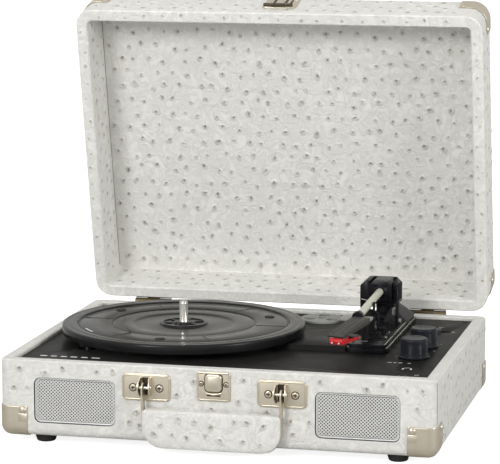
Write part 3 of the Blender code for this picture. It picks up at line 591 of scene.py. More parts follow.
LID_ROWS, LINING_ROWS = (72, 112), (73, 111)
LID_ENDS = both(153, 47, 91, 130)
LID_CAPS = both(174.5, 25.5, 91, 130)
LID_CORNERS = both(174.5, 25.5, -200, -106) + both(174.5, 25.5, 106, 200)
CEILING = LID @ axes((1, 0, 0), (0, -1, 0), (0, 0, -1), (0, 0, 113))
LID_PANELS = [
    (CEILING, (-164.5, 164.5), (-121, 121), []),
    (LID @ place(0, 0, LID_TOP), (-170, 170), (-127, 127), LID_CORNERS),
    (LID @ FRONT_WALL, (-164, 164), LID_ROWS, LID_CAPS + [(-18, 18, 78, 114)]),
    (LID @ RIGHT_WALL, (-121, 121), LID_ROWS, LID_ENDS),
    (LID @ LEFT_WALL, (-121, 121), LID_ROWS, LID_ENDS),
    (LID @ BACK_WALL, (-164, 164), LID_ROWS, LID_CAPS + both(HINGE_X, 19, 70, 94)),
    (LID @ wall(1, 0, -167.5), (-118, 118), LINING_ROWS, []),
    (LID @ wall(-1, 0, -167.5), (-118, 118), LINING_ROWS, []),
    (LID @ wall(0, 1, -124), (-161, 161), LINING_ROWS, []),
    (LID @ wall(0, -1, -124), (-161, 161), LINING_ROWS, []),
]

LID_RIM = LID @ axes((1, 0, 0), (0, -1, 0), (0, 0, -1), (0, 0, RIM_Z + 0.4))
RIM_PANELS = [
    (LID_RIM, (-158, 158), (125.4, 132.6), []),
    (LID_RIM, (-176.1, -168.9), (-112, 118), []),
    (LID_RIM, (168.9, 176.1), (-112, 118), []),
]

quill_marks("case_quill_marks", "case", CASE_PANELS, seed=11, pitch=15.6)
quill_marks("lid_quill_marks", "lid", LID_PANELS, seed=23)
quill_marks("lid_rim_quill_marks", "lid", RIM_PANELS, seed=31, pitch=17.5, grow=0.62, rise=0.3)


def lid_seams():
    """The dark seams inside the lid, where its lining meets the side walls."""
    made = Shape(LID)
    for s in (-1, 1):
        made.tube([(s * 167.3, y, 112.8) for y in (-123, -60, 0, 60, 123)], 0.3, n=8)
    made.build("lid_seams", "lid", SEAM, "vinyl")


lid_seams()

# ---------- speaker grilles


def grille(side, s):
    """A perforated sheet on a true lattice of round holes, in a rolled frame."""
    across, down = 2.8, 1.35
    hole, deep, top, sides = 0.7, 0.7, -1.2, 8
    last_x, last_y = 32.6, 17.2
    made = Shape(FRONT_WALL @ place(s * GRILLE_X, GRILLE_Z))
    tips = ((across / 2, 0), (0, down), (-across / 2, 0), (0, -down))
    diamond = []
    for (a, b), (c, d) in zip(tips, tips[1:] + tips[:1]):
        diamond += [(a, b), ((a + c) / 2, (b + d) / 2)]
    ring = circle(hole, sides)
    rows = int(last_y / down)
    for row in range(-rows, rows + 1):
        offset = across / 2 if row % 2 else 0
        for column in range(-12, 13):
            x, y = column * across + offset, row * down
            if abs(x) > last_x:
                continue
            outer = [(x + a, y + b, top) for a, b in diamond]
            if abs(x) > last_x - 0.8 and abs(y) > last_y - 1:
                made.add(outer, [list(range(sides))])
                continue
            inner = [(x + a, y + b, top) for a, b in ring]
            low = [(x + a * 0.96, y + b * 0.96, top - deep) for a, b in ring]
            faces = []
            for start in (0, sides):
                for k in range(start, start + sides):
                    after = start + (k + 1) % sides
                    faces.append([k, after, sides + after, sides + k])
            made.add(outer + inner + low, faces)
    edge = ((-2, 0), (-1.12, 0), (-1.08, 0.1), (-1.1, 0.4), (-1.18, 0.9))
    made.stack(rounded(66.4, 35.9, 4.7, 6), edge, caps=False)
    made.paint = 1
    lip = ((0, -0.25), (0.08, -0.2), (0.04, 0.06), (-1.6, 0.3))
    made.stack(rounded(67, 36.5, 5, 6), lip, caps=False)
    node = f"speaker_grille_{side}"
    made.build(node + "_sheet", "case", [GRILLE, GREY], "grille_silver", [node], weld=False)


for side, s in SIDES:
    grille(side, s)

# ---------- corner caps

RIVET = (
    (0, -0.4), (3.5, -0.4), (3.65, -0.1), (3.5, 0.12), (2.9, 0.16),
    (2.75, 0.35), (2.5, 0.75), (1.9, 1.1), (1, 1.3), (0, 1.36),
)


def corner_skin(made, corner, into, plan_r, edge_r):
    """One pressed cap. corner is the case's sharp corner, into the three directions from it into the case.

    The section runs in from under the case, round the edge and up the wall. It is swept round the corner."""
    proud, reach, height = 0.95, CAP_REACH, CAP_HEIGHT
    section = [(reach, 0), (reach * 0.7, 0), (edge_r + 1.5, 0)]
    for k in range(7):
        a = pi / 2 * k / 6
        section.append((edge_r * (1 - sin(a)), edge_r * (1 - cos(a))))
    section += [(0, height * 0.5), (0, height * 0.8), (0, height - 0.7), (0, height)]
    turns = [pi / 2 * k / 8 for k in range(9)]
    u, v, w = (Vector(d) for d in into)
    start = Vector(corner) - (u + v + w) * proud
    points, faces = [], []
    for s, drop in section:
        r = max(plan_r - s, 0)
        middle = max(plan_r, s)
        path = [(reach, s), (reach - 0.6, s), ((reach + middle) / 2, s)]
        path += [(middle - r * sin(a), middle - r * cos(a)) for a in turns]
        path += [(s, (reach + middle) / 2), (s, reach - 0.6), (s, reach)]
        points += [start + u * min(a, reach) + v * min(b, reach) + w * drop for a, b in path]
    count = len(path)
    centre = start + (u + v + w) * reach * 0.8
    for k in range(len(section) - 1):
        for i in range(k * count, k * count + count - 1):
            quad = [i, i + 1, i + count + 1, i + count]
            a, b, c, d = (points[q] for q in quad)
            facing = (c - a).cross(d - b)
            if facing.length < 1e-9:
                continue
            if facing.dot((a + c) / 2 - centre) < 0:
                quad.reverse()
            faces.append(quad)
    made.add(points, faces)


def corner_cap(body, spot, sx, sy, turn, corner_z, up, plan_r, edge_r):
    """A cap's skin at the sheet's thickness, with a rivet and its square on each of its two walls."""
    made = Shape(turn)
    into = ((-sx, 0, 0), (0, -sy, 0), (0, 0, up))
    corner_skin(made, (sx * HALF_W, sy * BACK, corner_z), into, plan_r, edge_r)
    name = f"{body}_cap_{spot}"
    skin = made.build(name, body, NICKEL, "satin_nickel", [f"{body}_corner_{spot}"], weld=False)
    weld_points(skin.data, outwards=False)
    thick = skin.modifiers.new("sheet", "SOLIDIFY")
    thick.thickness, thick.offset, thick.use_even_offset = 0.8 * MM, -1, True
    rivets = Shape(turn)
    long_wall = axes((-sx, 0, 0), (0, 0, up), (0, sy, 0), (sx * HALF_W, sy * (BACK + 0.9), corner_z))
    short_wall = axes((0, -sy, 0), (0, 0, up), (sx, 0, 0), (sx * (HALF_W + 0.9), sy * BACK, corner_z))
    for at in (long_wall, short_wall):
        rivets.lathe(RIVET, at @ place(19.2, CAP_HEIGHT - 4), 24)
        rivets.slab(rounded(8, 6.4, 0.9, 3), -0.2, 0.28, at @ place(19.2, CAP_HEIGHT - 10.2), 0.25, 2)
    rivets.build(name + "_rivets", body, NICKEL, "satin_nickel")


for side, sx in SIDES:
    for end, sy in ENDS:
        corner_cap("case", f"{end}_{side}", sx, sy, FLAT, BASE_Z, 1, 8.8, 8.4)
        corner_cap("lid", f"{end}_{side}", sx, sy, LID, LID_TOP, -1, 15, 7.4)

# ---------- latch, hasp and handle


def plate(made, w, h, r, y, high, bead):
    """A pressed plate with a raised bead just inside its edge."""
    outline = rounded(w, h, r, 6)
    made.slab(outline, 0.3, high, place(0, y), 0.5, 4)
    made.tube([(a, b, high - 0.1) for a, b in inset(outline, 1.35)], bead, place(0, y), 10, True, 0.9)


def mark(made, w, h, r, low, high, x, y, n=6):
    """A thin patch on a pressed plate. In the dark nickel it is painted shade, for an outline or a recess; in
    the nickel it is a low raised patch.
    """
    made.slab(rounded(w, h, r, n), low, high, place(x, y), 0.05, 1)


def latch():
    """The pressed plate and the catch on the case, with two screws, and painted shade under the lower lip,
    round the catch, round the screws and in their crosses.
    """
    screw_x, screw_y = 10.1, 57.3
    made = Shape(FRONT_WALL)
    plate(made, 27.3, 23.7, 2.6, 55.15, 1.1, 0.45)
    made.tube([(-12.2, 66.3, 1.3), (12.2, 66.3, 1.3)], 0.9, n=12)
    made.slab(rounded(13.7, 14.1, 3.2, 6), 1, 3.3, place(0, 58.4), 1.1, 4)
    made.slab(rounded(9.6, 9.8, 2.2, 6), 3.2, 3.4, place(0, 58.6), 0.15, 2)
    lower_lip = [(-6.4, 50.4, 1.2), (-4.2, 49.5, 1.5), (0, 49.1, 1.7), (4.2, 49.5, 1.5), (6.4, 50.4, 1.2)]
    made.tube(lower_lip, 0.85, n=10)
    for s in (-1, 1):
        made.screw(1.75, place(s * screw_x, screw_y, 1.05), 0.7)
    # Painted shade: under the lower lip, round the catch, round each screw and in its cross.
    made.paint = 1
    mark(made, 11.4, 1.3, 0.6, 1, 1.14, 0, 48, 4)
    mark(made, 15.3, 15.7, 3.8, 1, 1.16, 0, 58.2)
    for s in (-1, 1):
        at = place(s * screw_x, screw_y)
        made.slab(circle(2.35, 24), 1, 1.18, at, 0.05, 1)
        for wide, tall in ((2.1, 0.6), (0.6, 2.1)):
            made.slab(rounded(wide, tall, 0.1, 1), 1.4, 1.82, at, 0.03, 1)
    made.build("latch_plate_pressed", "case", PRESSED, "satin_nickel", ["latch_plate"])


def hasp():
    """The plate on the lid with its outer knuckles, and the flap on its own body with the middle one."""
    knuckle = (83.6, 3.2)
    made = Shape(LID @ FRONT_WALL)
    plate(made, 29, 29, 4, 97, 1.2, 0.5)
    for s in (-1, 1):
        for y in (87, 107):
            made.screw(1.7, place(s * 11.4, y, 1.15))
        made.slab(rounded(5.2, 3.6, 0.8, 3), 0.9, 2.9, place(s * 9.9, 84.6), 0.5)
    # Painted shade: a dark outline round the flap's seat, left showing round the nickel patch laid on it.
    made.paint = 1
    mark(made, 19.4, 22.6, 4.2, 1, 1.3, 0, 96)
    made.paint = 0
    mark(made, 16.8, 20, 3, 1, 1.42, 0, 96)
    # Painted shade on the outer knuckles.
    made.paint = 1
    for s in (-1, 1):
        made.tube([(s * 7.2, *knuckle), (s * 12.6, *knuckle)], 1.5, n=16)
    made.build("hasp_plate_pressed", "lid", PRESSED, "satin_nickel", ["hasp_plate"])
    flap = Shape(LID @ FRONT_WALL)
    flap.slab(rounded(17, 20.4, 3.4, 6), 1.75, 2.6, place(0, 96.2), 0.35)
    flap.slab(rounded(5.4, 17.6, 1.8, 5), 2.5, 3.4, place(0, 96.6), 0.7)
    flap.slab(rounded(11, 4, 0.8, 3), 1.75, 2.9, place(0, 85.6), 0.5)
    # Painted shade on the middle knuckle and in the grooves beside the flap's rib.
    flap.paint = 1
    flap.tube([(-6.4, *knuckle), (6.4, *knuckle)], 1.5, n=16)
    for s in (-1, 1):
        flap.slab(rounded(2.4, 10.8, 1.1, 5), 2.5, 2.66, place(s * 5, 96.6), 0.04, 1)
    flap.build("hasp_flap_pressed", "hasp", PRESSED, "satin_nickel", ["hasp_flap"])


def handle_bracket(side, s):
    """A screwed plate with a pair of bowed ears, and the pin between them, with painted shade round the
    screws, in their crosses and between the ears.
    """
    made = Shape(FRONT_WALL @ place(s * HANDLE_X, 0))
    plate(made, 40, 22, 4.2, 52, 1.2, 0.62)
    for x in (-10.8, 10.8):
        made.paint = 0
        made.screw(2.75, place(x, 51.6, 1.15))
        # Painted shade: a dark ring round each screw, and its cross.
        made.paint = 1
        made.slab(circle(3.4, 28), 1, 1.28, place(x, 51.6), 0.06, 1)
        for wide, tall in ((3.3, 0.95), (0.95, 3.3)):
            mark(made, wide, tall, 0.2, 1.6, 2.08, x, 51.6, 1)
    # A dark patch between the ears: painted shade.
    made.slab(rounded(6.6, 14.2, 1, 3), 1, 1.35, place(0, PIN_Z), 0.1, 1)
    made.paint = 0
    for x in (-1, 1):
        rings = []
        for k in range(9):
            t = -1 + k / 4
            near = 3.25 + 0.95 * cos(t * pi / 2)
            out = 11.3 - 4.2 * t * t
            v = PIN_Z + 7.4 * t
            corners = ((near, 1), (near + 0.95, 1), (near + 0.95, out), (near, out))
            rings.append([(x * a, v, b) for a, b in corners])
        made.loft(rings)
    made.tube([(-5.4, PIN_Z, PIN_OUT), (5.4, PIN_Z, PIN_OUT)], 1.2, n=16)
    for x in (-1, 1):
        pin_end = axes((0, 1, 0), (0, 0, 1), (x, 0, 0), (x * 5.2, PIN_Z, PIN_OUT))
        made.lathe([(0, -0.4), (1.9, -0.4), (2, 0.1), (1.6, 0.55), (0, 0.75)], pin_end, 18)
    node = f"handle_bracket_{side}"
    made.build(node + "_pressed", "case", PRESSED, "satin_nickel", [node])


def handle_strap(side, s):
    """A flat strap: an eye round the pin, a straight drop, and a tapering turn under the grip's corner."""
    made = Shape(FRONT_WALL)
    eye_r, turn_r, turn_x, turn_z = 4, 16.4, 39.3, 22
    rings = []

    def ring(x, v, wide, lean=0):
        across = Vector((cos(lean), sin(lean), 0))
        middle = Vector((x, v, PIN_OUT))
        section = [middle + across * a + Vector((0, 0, b)) for a, b in rounded(1.6, wide, 0.5, 2)]
        rings.append([(s * p.x, p.y, p.z) for p in section])

    for k in range(8):
        drop = eye_r * cos(pi / 2 * k / 7)
        ring(GRIP_HALF_W, PIN_Z + drop, max(1.4, 2 * sqrt(max(eye_r**2 - drop**2, 0))))
    for x, v, wide in ((GRIP_HALF_W, 48, 8), (GRIP_HALF_W, 38, 8), (55.7, 34, 6.6), (55.7, turn_z, 5.6)):
        ring(x, v, wide)
    for k in range(1, 11):
        a = radians(7 * k)
        ring(turn_x + turn_r * cos(a), turn_z - turn_r * sin(a), max(1.2, 5.6 - 0.75 * k), -a)
    made.loft(rings)
    made.build(f"handle_strap_{side}_bent", "handle", NICKEL, "satin_nickel", [f"handle_strap_{side}"])


def grip_outline():
    """The grip from the front, in short steps: nearly square above, and two wide turns below."""
    upper, lower = (3, GRIP_TOP), (16.6, GRIP_FOOT)
    points = []
    corners = ((1, 1, upper), (-1, 1, upper), (-1, -1, lower), (1, -1, lower))
    for quarter, (sx, sy, (r, edge)) in enumerate(corners):
        for k in range(10):
            a = pi / 2 * (quarter + k / 9)
            points.append((sx * (GRIP_HALF_W - r) + r * cos(a), edge - sy * r + r * sin(a)))
    full = []
    for (a, b), (c, d) in zip(points, points[1:] + points[:1]):
        cuts = max(1, round(dist((a, b), (c, d)) / 4))
        full += [(a + (c - a) * k / cuts, b + (d - b) * k / cuts) for k in range(cuts)]
    return full


def handle_grip():
    """The padded grip: leatherette over a stiff core, crowned, with a turned edge."""
    made = Shape(FRONT_WALL)
    outline = grip_outline()
    depths = (0, 0.12, 0.5, 1.1, 2, 3.3, 4.8)
    half, full_depth = 5.45, depths[-1]
    crown = inset(outline, full_depth)

    def level(depth, side):
        """The grip's edge, turned from its side to its face."""
        rise = half * (0.6 + 0.33 * sqrt(max(0, 1 - (1 - depth / full_depth) ** 2)))
        return [(x, y, PIN_OUT + side * rise) for x, y in inset(outline, depth)]

    def spine(share, side):
        """The grip's face, drawn together towards a line along its middle."""
        out = PIN_OUT + side * half * (0.93 + 0.07 * sin(pi / 2 * share))
        ring = []
        for x, y in crown:
            middle = max(-38, min(38, x))
            ring.append((x + (middle - x) * share, y + (22.5 - y) * share, out))
        return ring

    shares = (0.33, 0.66, 1)
    rings = [spine(share, -1) for share in reversed(shares)]
    rings += [level(depth, -1) for depth in reversed(depths)]
    rings += [level(depth, 1) for depth in depths]
    rings += [spine(share, 1) for share in shares]
    made.loft(rings, caps=False)
    grip = made.build("handle_grip_padded", "handle", VINYL, "vinyl", ["handle_grip"], angle=70)
    smooth = grip.modifiers.new("smooth", "SUBSURF")
    smooth.levels = smooth.render_levels = 1
    face = FRONT_WALL @ place(0, 0, PIN_OUT + half * 0.965)
    back = FRONT_WALL @ axes((-1, 0, 0), (0, 1, 0), (0, 0, -1), (0, 0, PIN_OUT - half * 0.965))
    turned_corners = [(-60, -41, 0, 14), (41, 60, 0, 14)]
    panels = [(at, (-50, 50), (9.5, 33), turned_corners) for at in (face, back)]
    quill_marks("handle_quill_marks", "handle", panels, seed=5, pitch=14.5)


latch()
hasp()
for side, s in SIDES:
    handle_bracket(side, s)
    handle_strap(side, s)
handle_grip()

# ---------- feet and hinges


def feet():
    profile = (
        (0, 1.6), (2.2, 1.6), (2.4, 0.6), (3, 0.05), (6.8, 0), (7.5, 0.5), (7.9, 1.4), (8.5, 3.4), (9.3, 5.9),
        (9.5, 6.5), (9.1, 6.75), (0, 6.75),
    )
    for end, sy in ENDS:
        for side, sx in SIDES:
            made = Shape(place(sx * 144.5, sy * 116))
            made.lathe(profile, n=36)
            made.build(f"foot_{end}_{side}_turned", "case", RUBBER, "rubber", [f"foot_{end}_{side}"])


def hinge_screws():
    lower, upper = Shape(BACK_WALL), Shape(LID @ BACK_WALL)
    for s in (-1, 1):
        for step, away in ((-12, 0), (0, 4), (12, 0)):
            x = s * (HINGE_X + step)
            lower.screw(1.8, place(x, 56 - away, 1.25))
            upper.screw(1.8, place(x, 81 + away, 1.25))
    lower.build("hinge_screws_case", "case", BRASS_DARK, "brass")
    upper.build("hinge_screws_lid", "lid", BRASS_DARK, "brass")


feet()
hinge_screws()

# ---------- deck


def printed_marks():
    """Plain printed marks by the controls: bars, dots, and a headphone symbol. None of them is lettering."""
    made = Shape()

    def bar(x, y, w, h, turn=0):
        outline = rounded(w, h, min(w, h) * 0.35, 2)
        made.slab(outline, DECK_Z + 0.01, DECK_Z + 0.07, place(x, y, 0, turn), 0.01, 1)

    for x, w in ((127.2, 3.6), (131.6, 2.6), (136, 3.4), (143, 2.4)):
        bar(x, -62, w, 1.1)
    turns = [radians(a) for a in range(-10, 191, 20)]
    band = [(145 + 3.4 * cos(a), -83 + 3.4 * sin(a), DECK_Z + 0.03) for a in turns]
    made.tube(band, 0.42, n=6, flat=0.12)
    for s in (-1, 1):
        bar(145 + s * 3.3, -84.6, 1.5, 2.8)
    for x in (155.5, 157.4):
        bar(x, -105, 0.7, 2.6, -25)
    bar(155, -10, 1.3, 1.3)
    for x, y in ((131, 19), (143.5, 21.5), (156, 19)):
        bar(x, y, 1.1, 1.1)
    bar(158, 73, 2.6, 0.9)
    bar(158, 70.6, 1.7, 0.8)
    bar(137.4, 72, 2.2, 0.9)
    bar(144.6, 90, 4.2, 0.9)
    for x, w in ((-151, 6), (-142.4, 5.4), (-134, 5.4), (-125.6, 6), (-116.6, 5.6), (-107, 7)):
        bar(x, -100.5, w, 2.6)
    made.build("deck_printed_marks", "case", PRINT, "deck_black", weld=False)


def deck_trim():
    """The jack's turned collar, the deck's screws, the seam round the deck, and the front corner's fold."""
    made = Shape()
    collar = ((2, 65.9), (2, 66.5), (2.3, 66.75), (3.3, 66.75), (3.9, 66.4), (4.1, 66.05))
    made.lathe(collar, place(*JACK_AT), 28)
    made.paint = 1
    for x, y in ((-160, -117), (-160, 117), (0, 118), (161, 117), (162, -117), (60, -118)):
        made.screw(2.2, place(x, y, 65.95, 20), 0.5)
    made.paint = 2
    made.tube([(x, y, DECK_Z - 0.1) for x, y in rounded(335, 248, 2, 3)], 0.45, n=6, closed=True)
    a, r = radians(68), CASE_CORNER_R
    fold = (HALF_W - r + r * sin(a), FRONT + r - r * cos(a))
    made.tube([(*fold, z) for z in (32, 45, 58, 66.5)], 0.28, n=8)
    made.build("deck_trim", "case", [JACK, GLOSS, SEAM], "deck_black")


def knob(body, x, y, turn):
    """A skirted knob with fine rings up its side and a line on its top."""
    made = Shape(place(x, y, 0, turn))
    profile = [(3.2, 66.4), (12.3, 66.4), (12.5, 66.7), (12.5, 67.7), (12.1, 68.1), (11.5, 68.2)]
    profile += [(11.35, 68.5), (11.35, 69.5), (11.1, 69.7)]
    for k in range(9):
        z = 70.2 + 0.95 * k
        profile += [(10.85, z), (10.98, z + 0.2), (10.98, z + 0.6), (10.85, z + 0.8)]
    profile += [(10.95, 79.4), (10.95, 81), (10.75, 81.8), (10.3, 82.3), (9.7, 82.5), (8.6, 82.45)]
    profile += [(7.8, 82.3), (0, 82.25)]
    made.lathe(profile, n=72)
    made.paint = 1
    made.slab(rounded(0.9, 5, 0.4, 2), 82.1, 82.36, place(0, 6), 0.1, 2)
    made.build(body + "_knob_turned", body, [KNOB, GLOSS], "dark_grey", [body + "_knob"])


printed_marks()
deck_trim()
knob("volume", 143, -39, 130)
knob("selector", 143.5, 5, 40)

# ---------- platter and spindle

PLATTER_SECTION = (
    (90, 76.4), (100.2, 76.2), (100.6, 75.6), (100.6, 71.9), (101.1, 71.5), (101.7, 71.7), (102, 72.3),
    (102, 77.5), (101.9, 78.2), (101.5, 78.9), (100.8, 79.35), (99.8, 79.5), (97.2, 79.5), (96.9, 79.4),
    (96.6, 79.5), (90.4, 79.5), (89.6, 79.3), (89.2, 78.6), (88.7, 77.9), (88, 77.85), (87.4, 78.5),
    (86.7, 78.85), (62, 78.85), (61.2, 78.5), (60.7, 77.8), (60, 77.75), (59.4, 78.2), (58.7, 78.4),
    (44.2, 78.3), (42.8, 78.05), (41.4, 77.3), (39.8, 77.15), (22.4, 77.15), (21, 77.5), (20.3, 78.4),
    (19.7, 79), (18.9, 79.15), (17.6, 79.1), (17, 78.2), (9.2, 78.1), (8.6, 79), (7.9, 79.4), (6.4, 79.5),
    (6.4, 76.5), (88, 76.3),
)


def platter():
    made = Shape(place(*PLATTER_AT))

    def spoke(turn, far):
        return place(0, 0, 0, turn) @ place(far, 0)

    made.lathe(PLATTER_SECTION, n=128, closed=True)
    for turn in range(0, 360, 60):
        made.slab(rounded(25.4, 0.9, 0.4, 2), 78.7, 79.1, spoke(turn, 74.4), 0.15, 2)
        made.slab(rounded(7.4, 1.5, 0.6, 2), 78.3, 79.15, spoke(turn + 24, 13), 0.25, 2)
    made.lathe([(80.2, 76.4), (80.2, 71), (77, 71), (77, 76.4)], n=96, closed=True)
    made.paint = 1
    pad = ((0, 78.8), (4.3, 78.8), (4.3, 79.25), (3.9, 79.5), (3.2, 79.5), (2.6, 79.3), (0, 79.25))
    for turn in (150, 30, -90):
        made.lathe(pad, spoke(turn, 75.5), 28)
    # A pale dash on the dish by the groove, in the printed white: a painted highlight.
    made.paint = 2
    turns = [radians(a) for a in range(-147, -135, 2)]
    made.tube([(85.4 * cos(a), 85.4 * sin(a), 79) for a in turns], 0.8, n=6, flat=0.1)
    made.build("platter_moulded", "platter", [PLATTER, PAD, PRINT], "gloss_black", ["platter"], angle=28)


def spindle():
    made = Shape(place(*PLATTER_AT))
    profile = [(9, 66.3), (9, 66.7), (8.6, 66.95), (3.9, 66.95), (3.6, 67.3), (3.6, 94.9), (3.5, 95.5)]
    made.lathe(profile + [(3.1, 96.5), (2.3, 97.2), (1.2, 97.45), (0, 97.5)], n=40)
    made.build("spindle_turned", "case", CHROME, "chrome", ["spindle"], angle=50)


platter()
spindle()

# ---------- tonearm

HEAD_TURN = radians(17)
HEAD = axes(
    (cos(HEAD_TURN), -sin(HEAD_TURN), 0),
    (-sin(HEAD_TURN), -cos(HEAD_TURN), 0),
    (0, 0, 1),
    (99, -33, 0),
)


def tonearm_base():
    """The two-step plinth under the arm, with painted highlights along its right edge, and the posts and
    screws on it.
    """
    made = Shape(place(102, 41.5))
    made.slab(rounded(34, 147, 5, 6), 66.35, 70.1, bevel=0.5)
    made.slab(rounded(30.6, 143.6, 3.8, 6), 70, 73, bevel=0.6)
    for x in (-12.6, 12.6):
        made.slab(rounded(1, 134, 0.4, 2), 72.9, 73.45, place(x, 0), 0.3, 2)
    made.slab(rounded(23, 0.9, 0.3, 2), 72.9, 73.4, place(0, -52), 0.3, 2)
    made.slab(rounded(15.5, 34, 2, 4), 72.9, 73.9, place(1.5, -28), 0.5, 3)
    # Two thin silver strips on the plinth's right edge: painted highlights on its two steps.
    made.paint = 1
    for x, top in ((16.4, 70.35), (14.6, 73.2)):
        made.slab(rounded(0.45, 138, 0.2, 2), 70, top, place(x, 0), 0.15, 2)
    made.build("tonearm_base_moulded", "case", [GLOSS, TUBE], "deck_black", ["tonearm_base"])
    posts = Shape()
    for y, top in ((2, 77.4), (23, 77.8)):
        profile = [(3.1, 73), (3.1, 74.2), (2.4, 74.8), (2.3, top - 0.5), (1.9, top), (0, top)]
        posts.lathe(profile, place(106, y), 24)
    posts.paint = 1
    for x, y in ((99.4, -2), (112.2, 2), (110.8, 24), (99.2, 33)):
        posts.screw(1.3, place(x, y, 73.2, 30), 0.6)
    posts.build("tonearm_base_posts", "case", [MATT, STEEL], "gloss_black")


def fairing():
    """The sloped housing round the back of the column, which carries the cue lever's bracket."""

    def between(low, high, share):
        return [(a + (c - a) * share, b + (d - b) * share) for (a, b), (c, d) in zip(low, high)]

    made = Shape()
    low = soften([(98, 68), (117.6, 72), (117.6, 113.6), (86, 113.6), (86, 107), (97, 105)], 2)
    high = soften([(101, 82), (104.6, 83), (104.6, 108), (96, 109), (96, 108), (100, 104)], 0.8)
    levels = [(low, 72.9)] + [(between(low, high, t), 73.4 + 9.6 * t) for t in (0, 0.5, 0.94)]
    levels.append((between(high, [(102, 96)] * len(high), 0.12), 83.3))
    made.loft([[(x, y, z) for x, y in outline] for outline, z in levels])
    made.slab(rounded(4.6, 9, 1, 3), 72.9, 80.5, place(107, 62), 0.8)
    made.build("lever_housing", "case", GREY, "dark_grey", angle=30)
    bracket = Shape()
    bracket.slab(rounded(2.4, 6.4, 0.8, 3), 73, 86, place(107.4, 66.6), 0.8)
    bracket.tube([(106.4, 62, 76), (114.4, 62, 76)], 1.9, n=20)
    bracket.build("lever_bracket", "case", PALE, "steel")


def arm_collar():
    """The hollow cone where the tube leaves the yoke, and the sleeve at the tube's front end."""
    collar = Shape()
    ahead = Vector((0, -106.5, -3.5)).normalized()
    side = Vector((1, 0, 0))
    up = side.cross(ahead).normalized()
    cone = axes(side, up * -1, ahead, (ARM_X, 81.5, 99))
    profile = [(8.4, 3), (8.2, 8.4), (7.4, 10.2), (5.6, 11.4), (4.6, 12.6), (3.5, 12.8), (3.3, 11), (3.3, 3)]
    collar.lathe(profile, cone, 36, True)
    collar.tube([(ARM_X, -24.4, 95.55), (ARM_X, -27.6, 95.4), (ARM_X, -30.9, 95.2)], [4.5, 4.7, 4.7], n=28)
    collar.build("arm_collar", "arm", GLOSS, "gloss_black")


def lift_sleeve():
    sleeve = Shape(place(98, -16))
    sleeve.lathe([(2.5, 73.6), (2.8, 73.8), (2.8, 90.2), (2.5, 90.5)], n=28)
    sleeve.build("lift_sleeve", "lift", MATT, "dark_grey")


def headshell_ribs():
    ribs = Shape(HEAD)
    for a in (-4.4, 0.6, 5.2):
        ribs.tube([(a, 3, 95.9), (a, 8, 95.5), (a, 27, 92.5), (a, 42, 90.1)], 0.8, n=8, flat=0.7)
    for a in (-7, 7):
        ribs.tube([(a, 1, 96), (a, 8, 95.4), (a, 43, 89.9), (a, 45.6, 88.4)], 0.45, n=8)
    ribs.build("headshell_ribs", "arm", RIBBED, "dark_grey")


def stylus_tips():
    marks = Shape(HEAD)
    ahead = Matrix.Rotation(radians(-90), 4, "X")
    for a in (-3.4, 2.8):
        marks.lathe([(0, 0), (0.8, 0), (0.7, 0.3), (0, 0.4)], place(a, 45.2, 82.6) @ ahead, 14)
    marks.slab(rounded(3.4, 1.6, 0.5, 2), 86.4, 87.4, place(-4.4, 43.4), 0.3, 2)
    marks.build("stylus_tips", "arm", WHITE, "arm_silver")


def yoke_details():
    """Ridges down the yoke's right side and over its front, and a chrome strip along its left edge as a
    painted highlight.
    """
    ridges = Shape()
    for y in (81.5, 88, 94.5):
        ridges.slab(rounded(1.2, 1.6, 0.5, 3), 89.5, 104, place(108.6, y), 0.5, 3, 0.5)
    ridges.slab(rounded(13, 1.2, 0.5, 3), 103.6, 105.4, place(ARM_X, 70.3), 0.5, 3, 0.5)
    ridges.build("yoke_ridges", "yoke", GLOSS, "gloss_black")
    # A chrome strip: a painted highlight on the yoke's left edge.
    edge = Shape()
    edge.tube([(77, 76.8, 90.4), (81, 76.6, 89.8), (85, 76.8, 88.4)], 0.55, n=8)
    edge.build("yoke_edge_painted_highlight", "yoke", CHROME, "chrome")


tonearm_base()
fairing()
arm_collar()
lift_sleeve()
headshell_ribs()
stylus_tips()
yoke_details()

# ---------- back sockets


def sockets():
    """The rings and the coloured inserts of the two line-out sockets."""
    made = Shape(BACK_WALL)
    for paint, x in ((1, 98), (2, 82)):
        made.paint = 0
        made.lathe([(1.8, 8.6), (1.8, 9), (3.9, 9), (4.2, 8.6), (4.2, 0.6)], place(x, 34), 28)
        made.paint = paint
        made.lathe([(1.5, 8), (1.5, 9.15), (3.2, 9.15), (3.2, 8)], place(x, 34), 28, True)
    made.build("line_out_rings", "case", [STEEL, WHITE, RED], "steel")


sockets()

# ---------- floor, light and camera


def lay_floor():
    work = bmesh.new()
    bmesh.ops.create_grid(work, x_segments=8, y_segments=8, size=6)
    mesh = bpy.data.meshes.new("floor")
    work.to_mesh(mesh)
    work.free()
    n = Nodes("floor_white")
    seen = n.node("ShaderNodeLightPath").outputs["Is Camera Ray"]
    n.set(Base_Color=n.mix(n.noise(3, 3), (0.5, 0.5, 0.49), (0.54, 0.54, 0.53)), Roughness=0.9)
    n.set(Emission_Color=(1, 1, 1), Emission_Strength=n.math("MULTIPLY", seen, 0.85))
    mesh.materials.append(n.material)
    linked("floor", mesh)


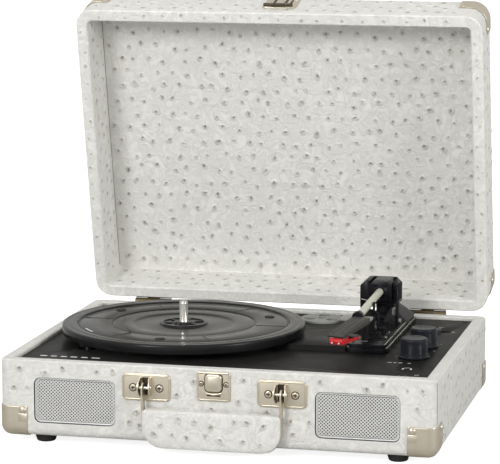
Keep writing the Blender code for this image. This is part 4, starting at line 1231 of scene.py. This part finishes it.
def add_light(name, at, aim, size, power):
    data = bpy.data.lights.new(name, "AREA")
    data.shape, data.size, data.energy = "DISK", size, power
    light = linked(name, data)
    light.location = at
    light.rotation_euler = (Vector(aim) - Vector(at)).to_track_quat("-Z", "Y").to_euler()


def light_scene():
    """A white surround to the eye, a softer and darker one to the light, and three lamps."""
    world = bpy.data.worlds.new("studio")
    bpy.context.scene.world = world
    world.use_nodes = True
    tree = world.node_tree
    new, link = tree.nodes.new, tree.links.new
    shown, lit = tree.nodes["Background"], new("ShaderNodeBackground")
    fill(shown, Color=(1, 1, 1, 1), Strength=1.1)
    fill(lit, Color=(1, 0.995, 0.98, 1))
    up = new("ShaderNodeSeparateXYZ")
    link(new("ShaderNodeTexCoord").outputs["Generated"], up.inputs[0])
    fade = new("ShaderNodeMapRange")
    fill(fade, From_Min=-0.1, From_Max=0.9, To_Min=0.62, To_Max=0.76)
    link(up.outputs["Z"], fade.inputs["Value"])
    link(fade.outputs["Result"], lit.inputs["Strength"])
    pick = new("ShaderNodeMixShader")
    link(new("ShaderNodeLightPath").outputs["Is Camera Ray"], pick.inputs["Fac"])
    link(lit.outputs["Background"], pick.inputs[1])
    link(shown.outputs["Background"], pick.inputs[2])
    link(pick.outputs["Shader"], tree.nodes["World Output"].inputs["Surface"])
    add_light("key", (-0.8, -2.3, 1.1), (0, 0, 0.12), 0.8, 28)
    add_light("top", (-0.3, -0.5, 2.2), (0, 0, 0.1), 0.8, 3)
    add_light("fill", (2, -0.9, 0.7), (0, 0, 0.12), 0.6, 14.5)
    view = bpy.context.scene.view_settings
    view.view_transform = "Standard"
    view.look = "None"


def set_camera():
    data = bpy.data.cameras.new("camera")
    data.lens = 182.9
    data.sensor_width = 36
    data.shift_x, data.shift_y = 0.003, 0.003
    data.clip_end = 50
    camera = linked("camera", data)
    camera.location = (0.480, -2.0478, 0.490)
    camera.rotation_euler = (radians(90 - 9.0904), 0, radians(13.4148))
    bpy.context.scene.camera = camera


lay_floor()
light_scene()
set_camera()
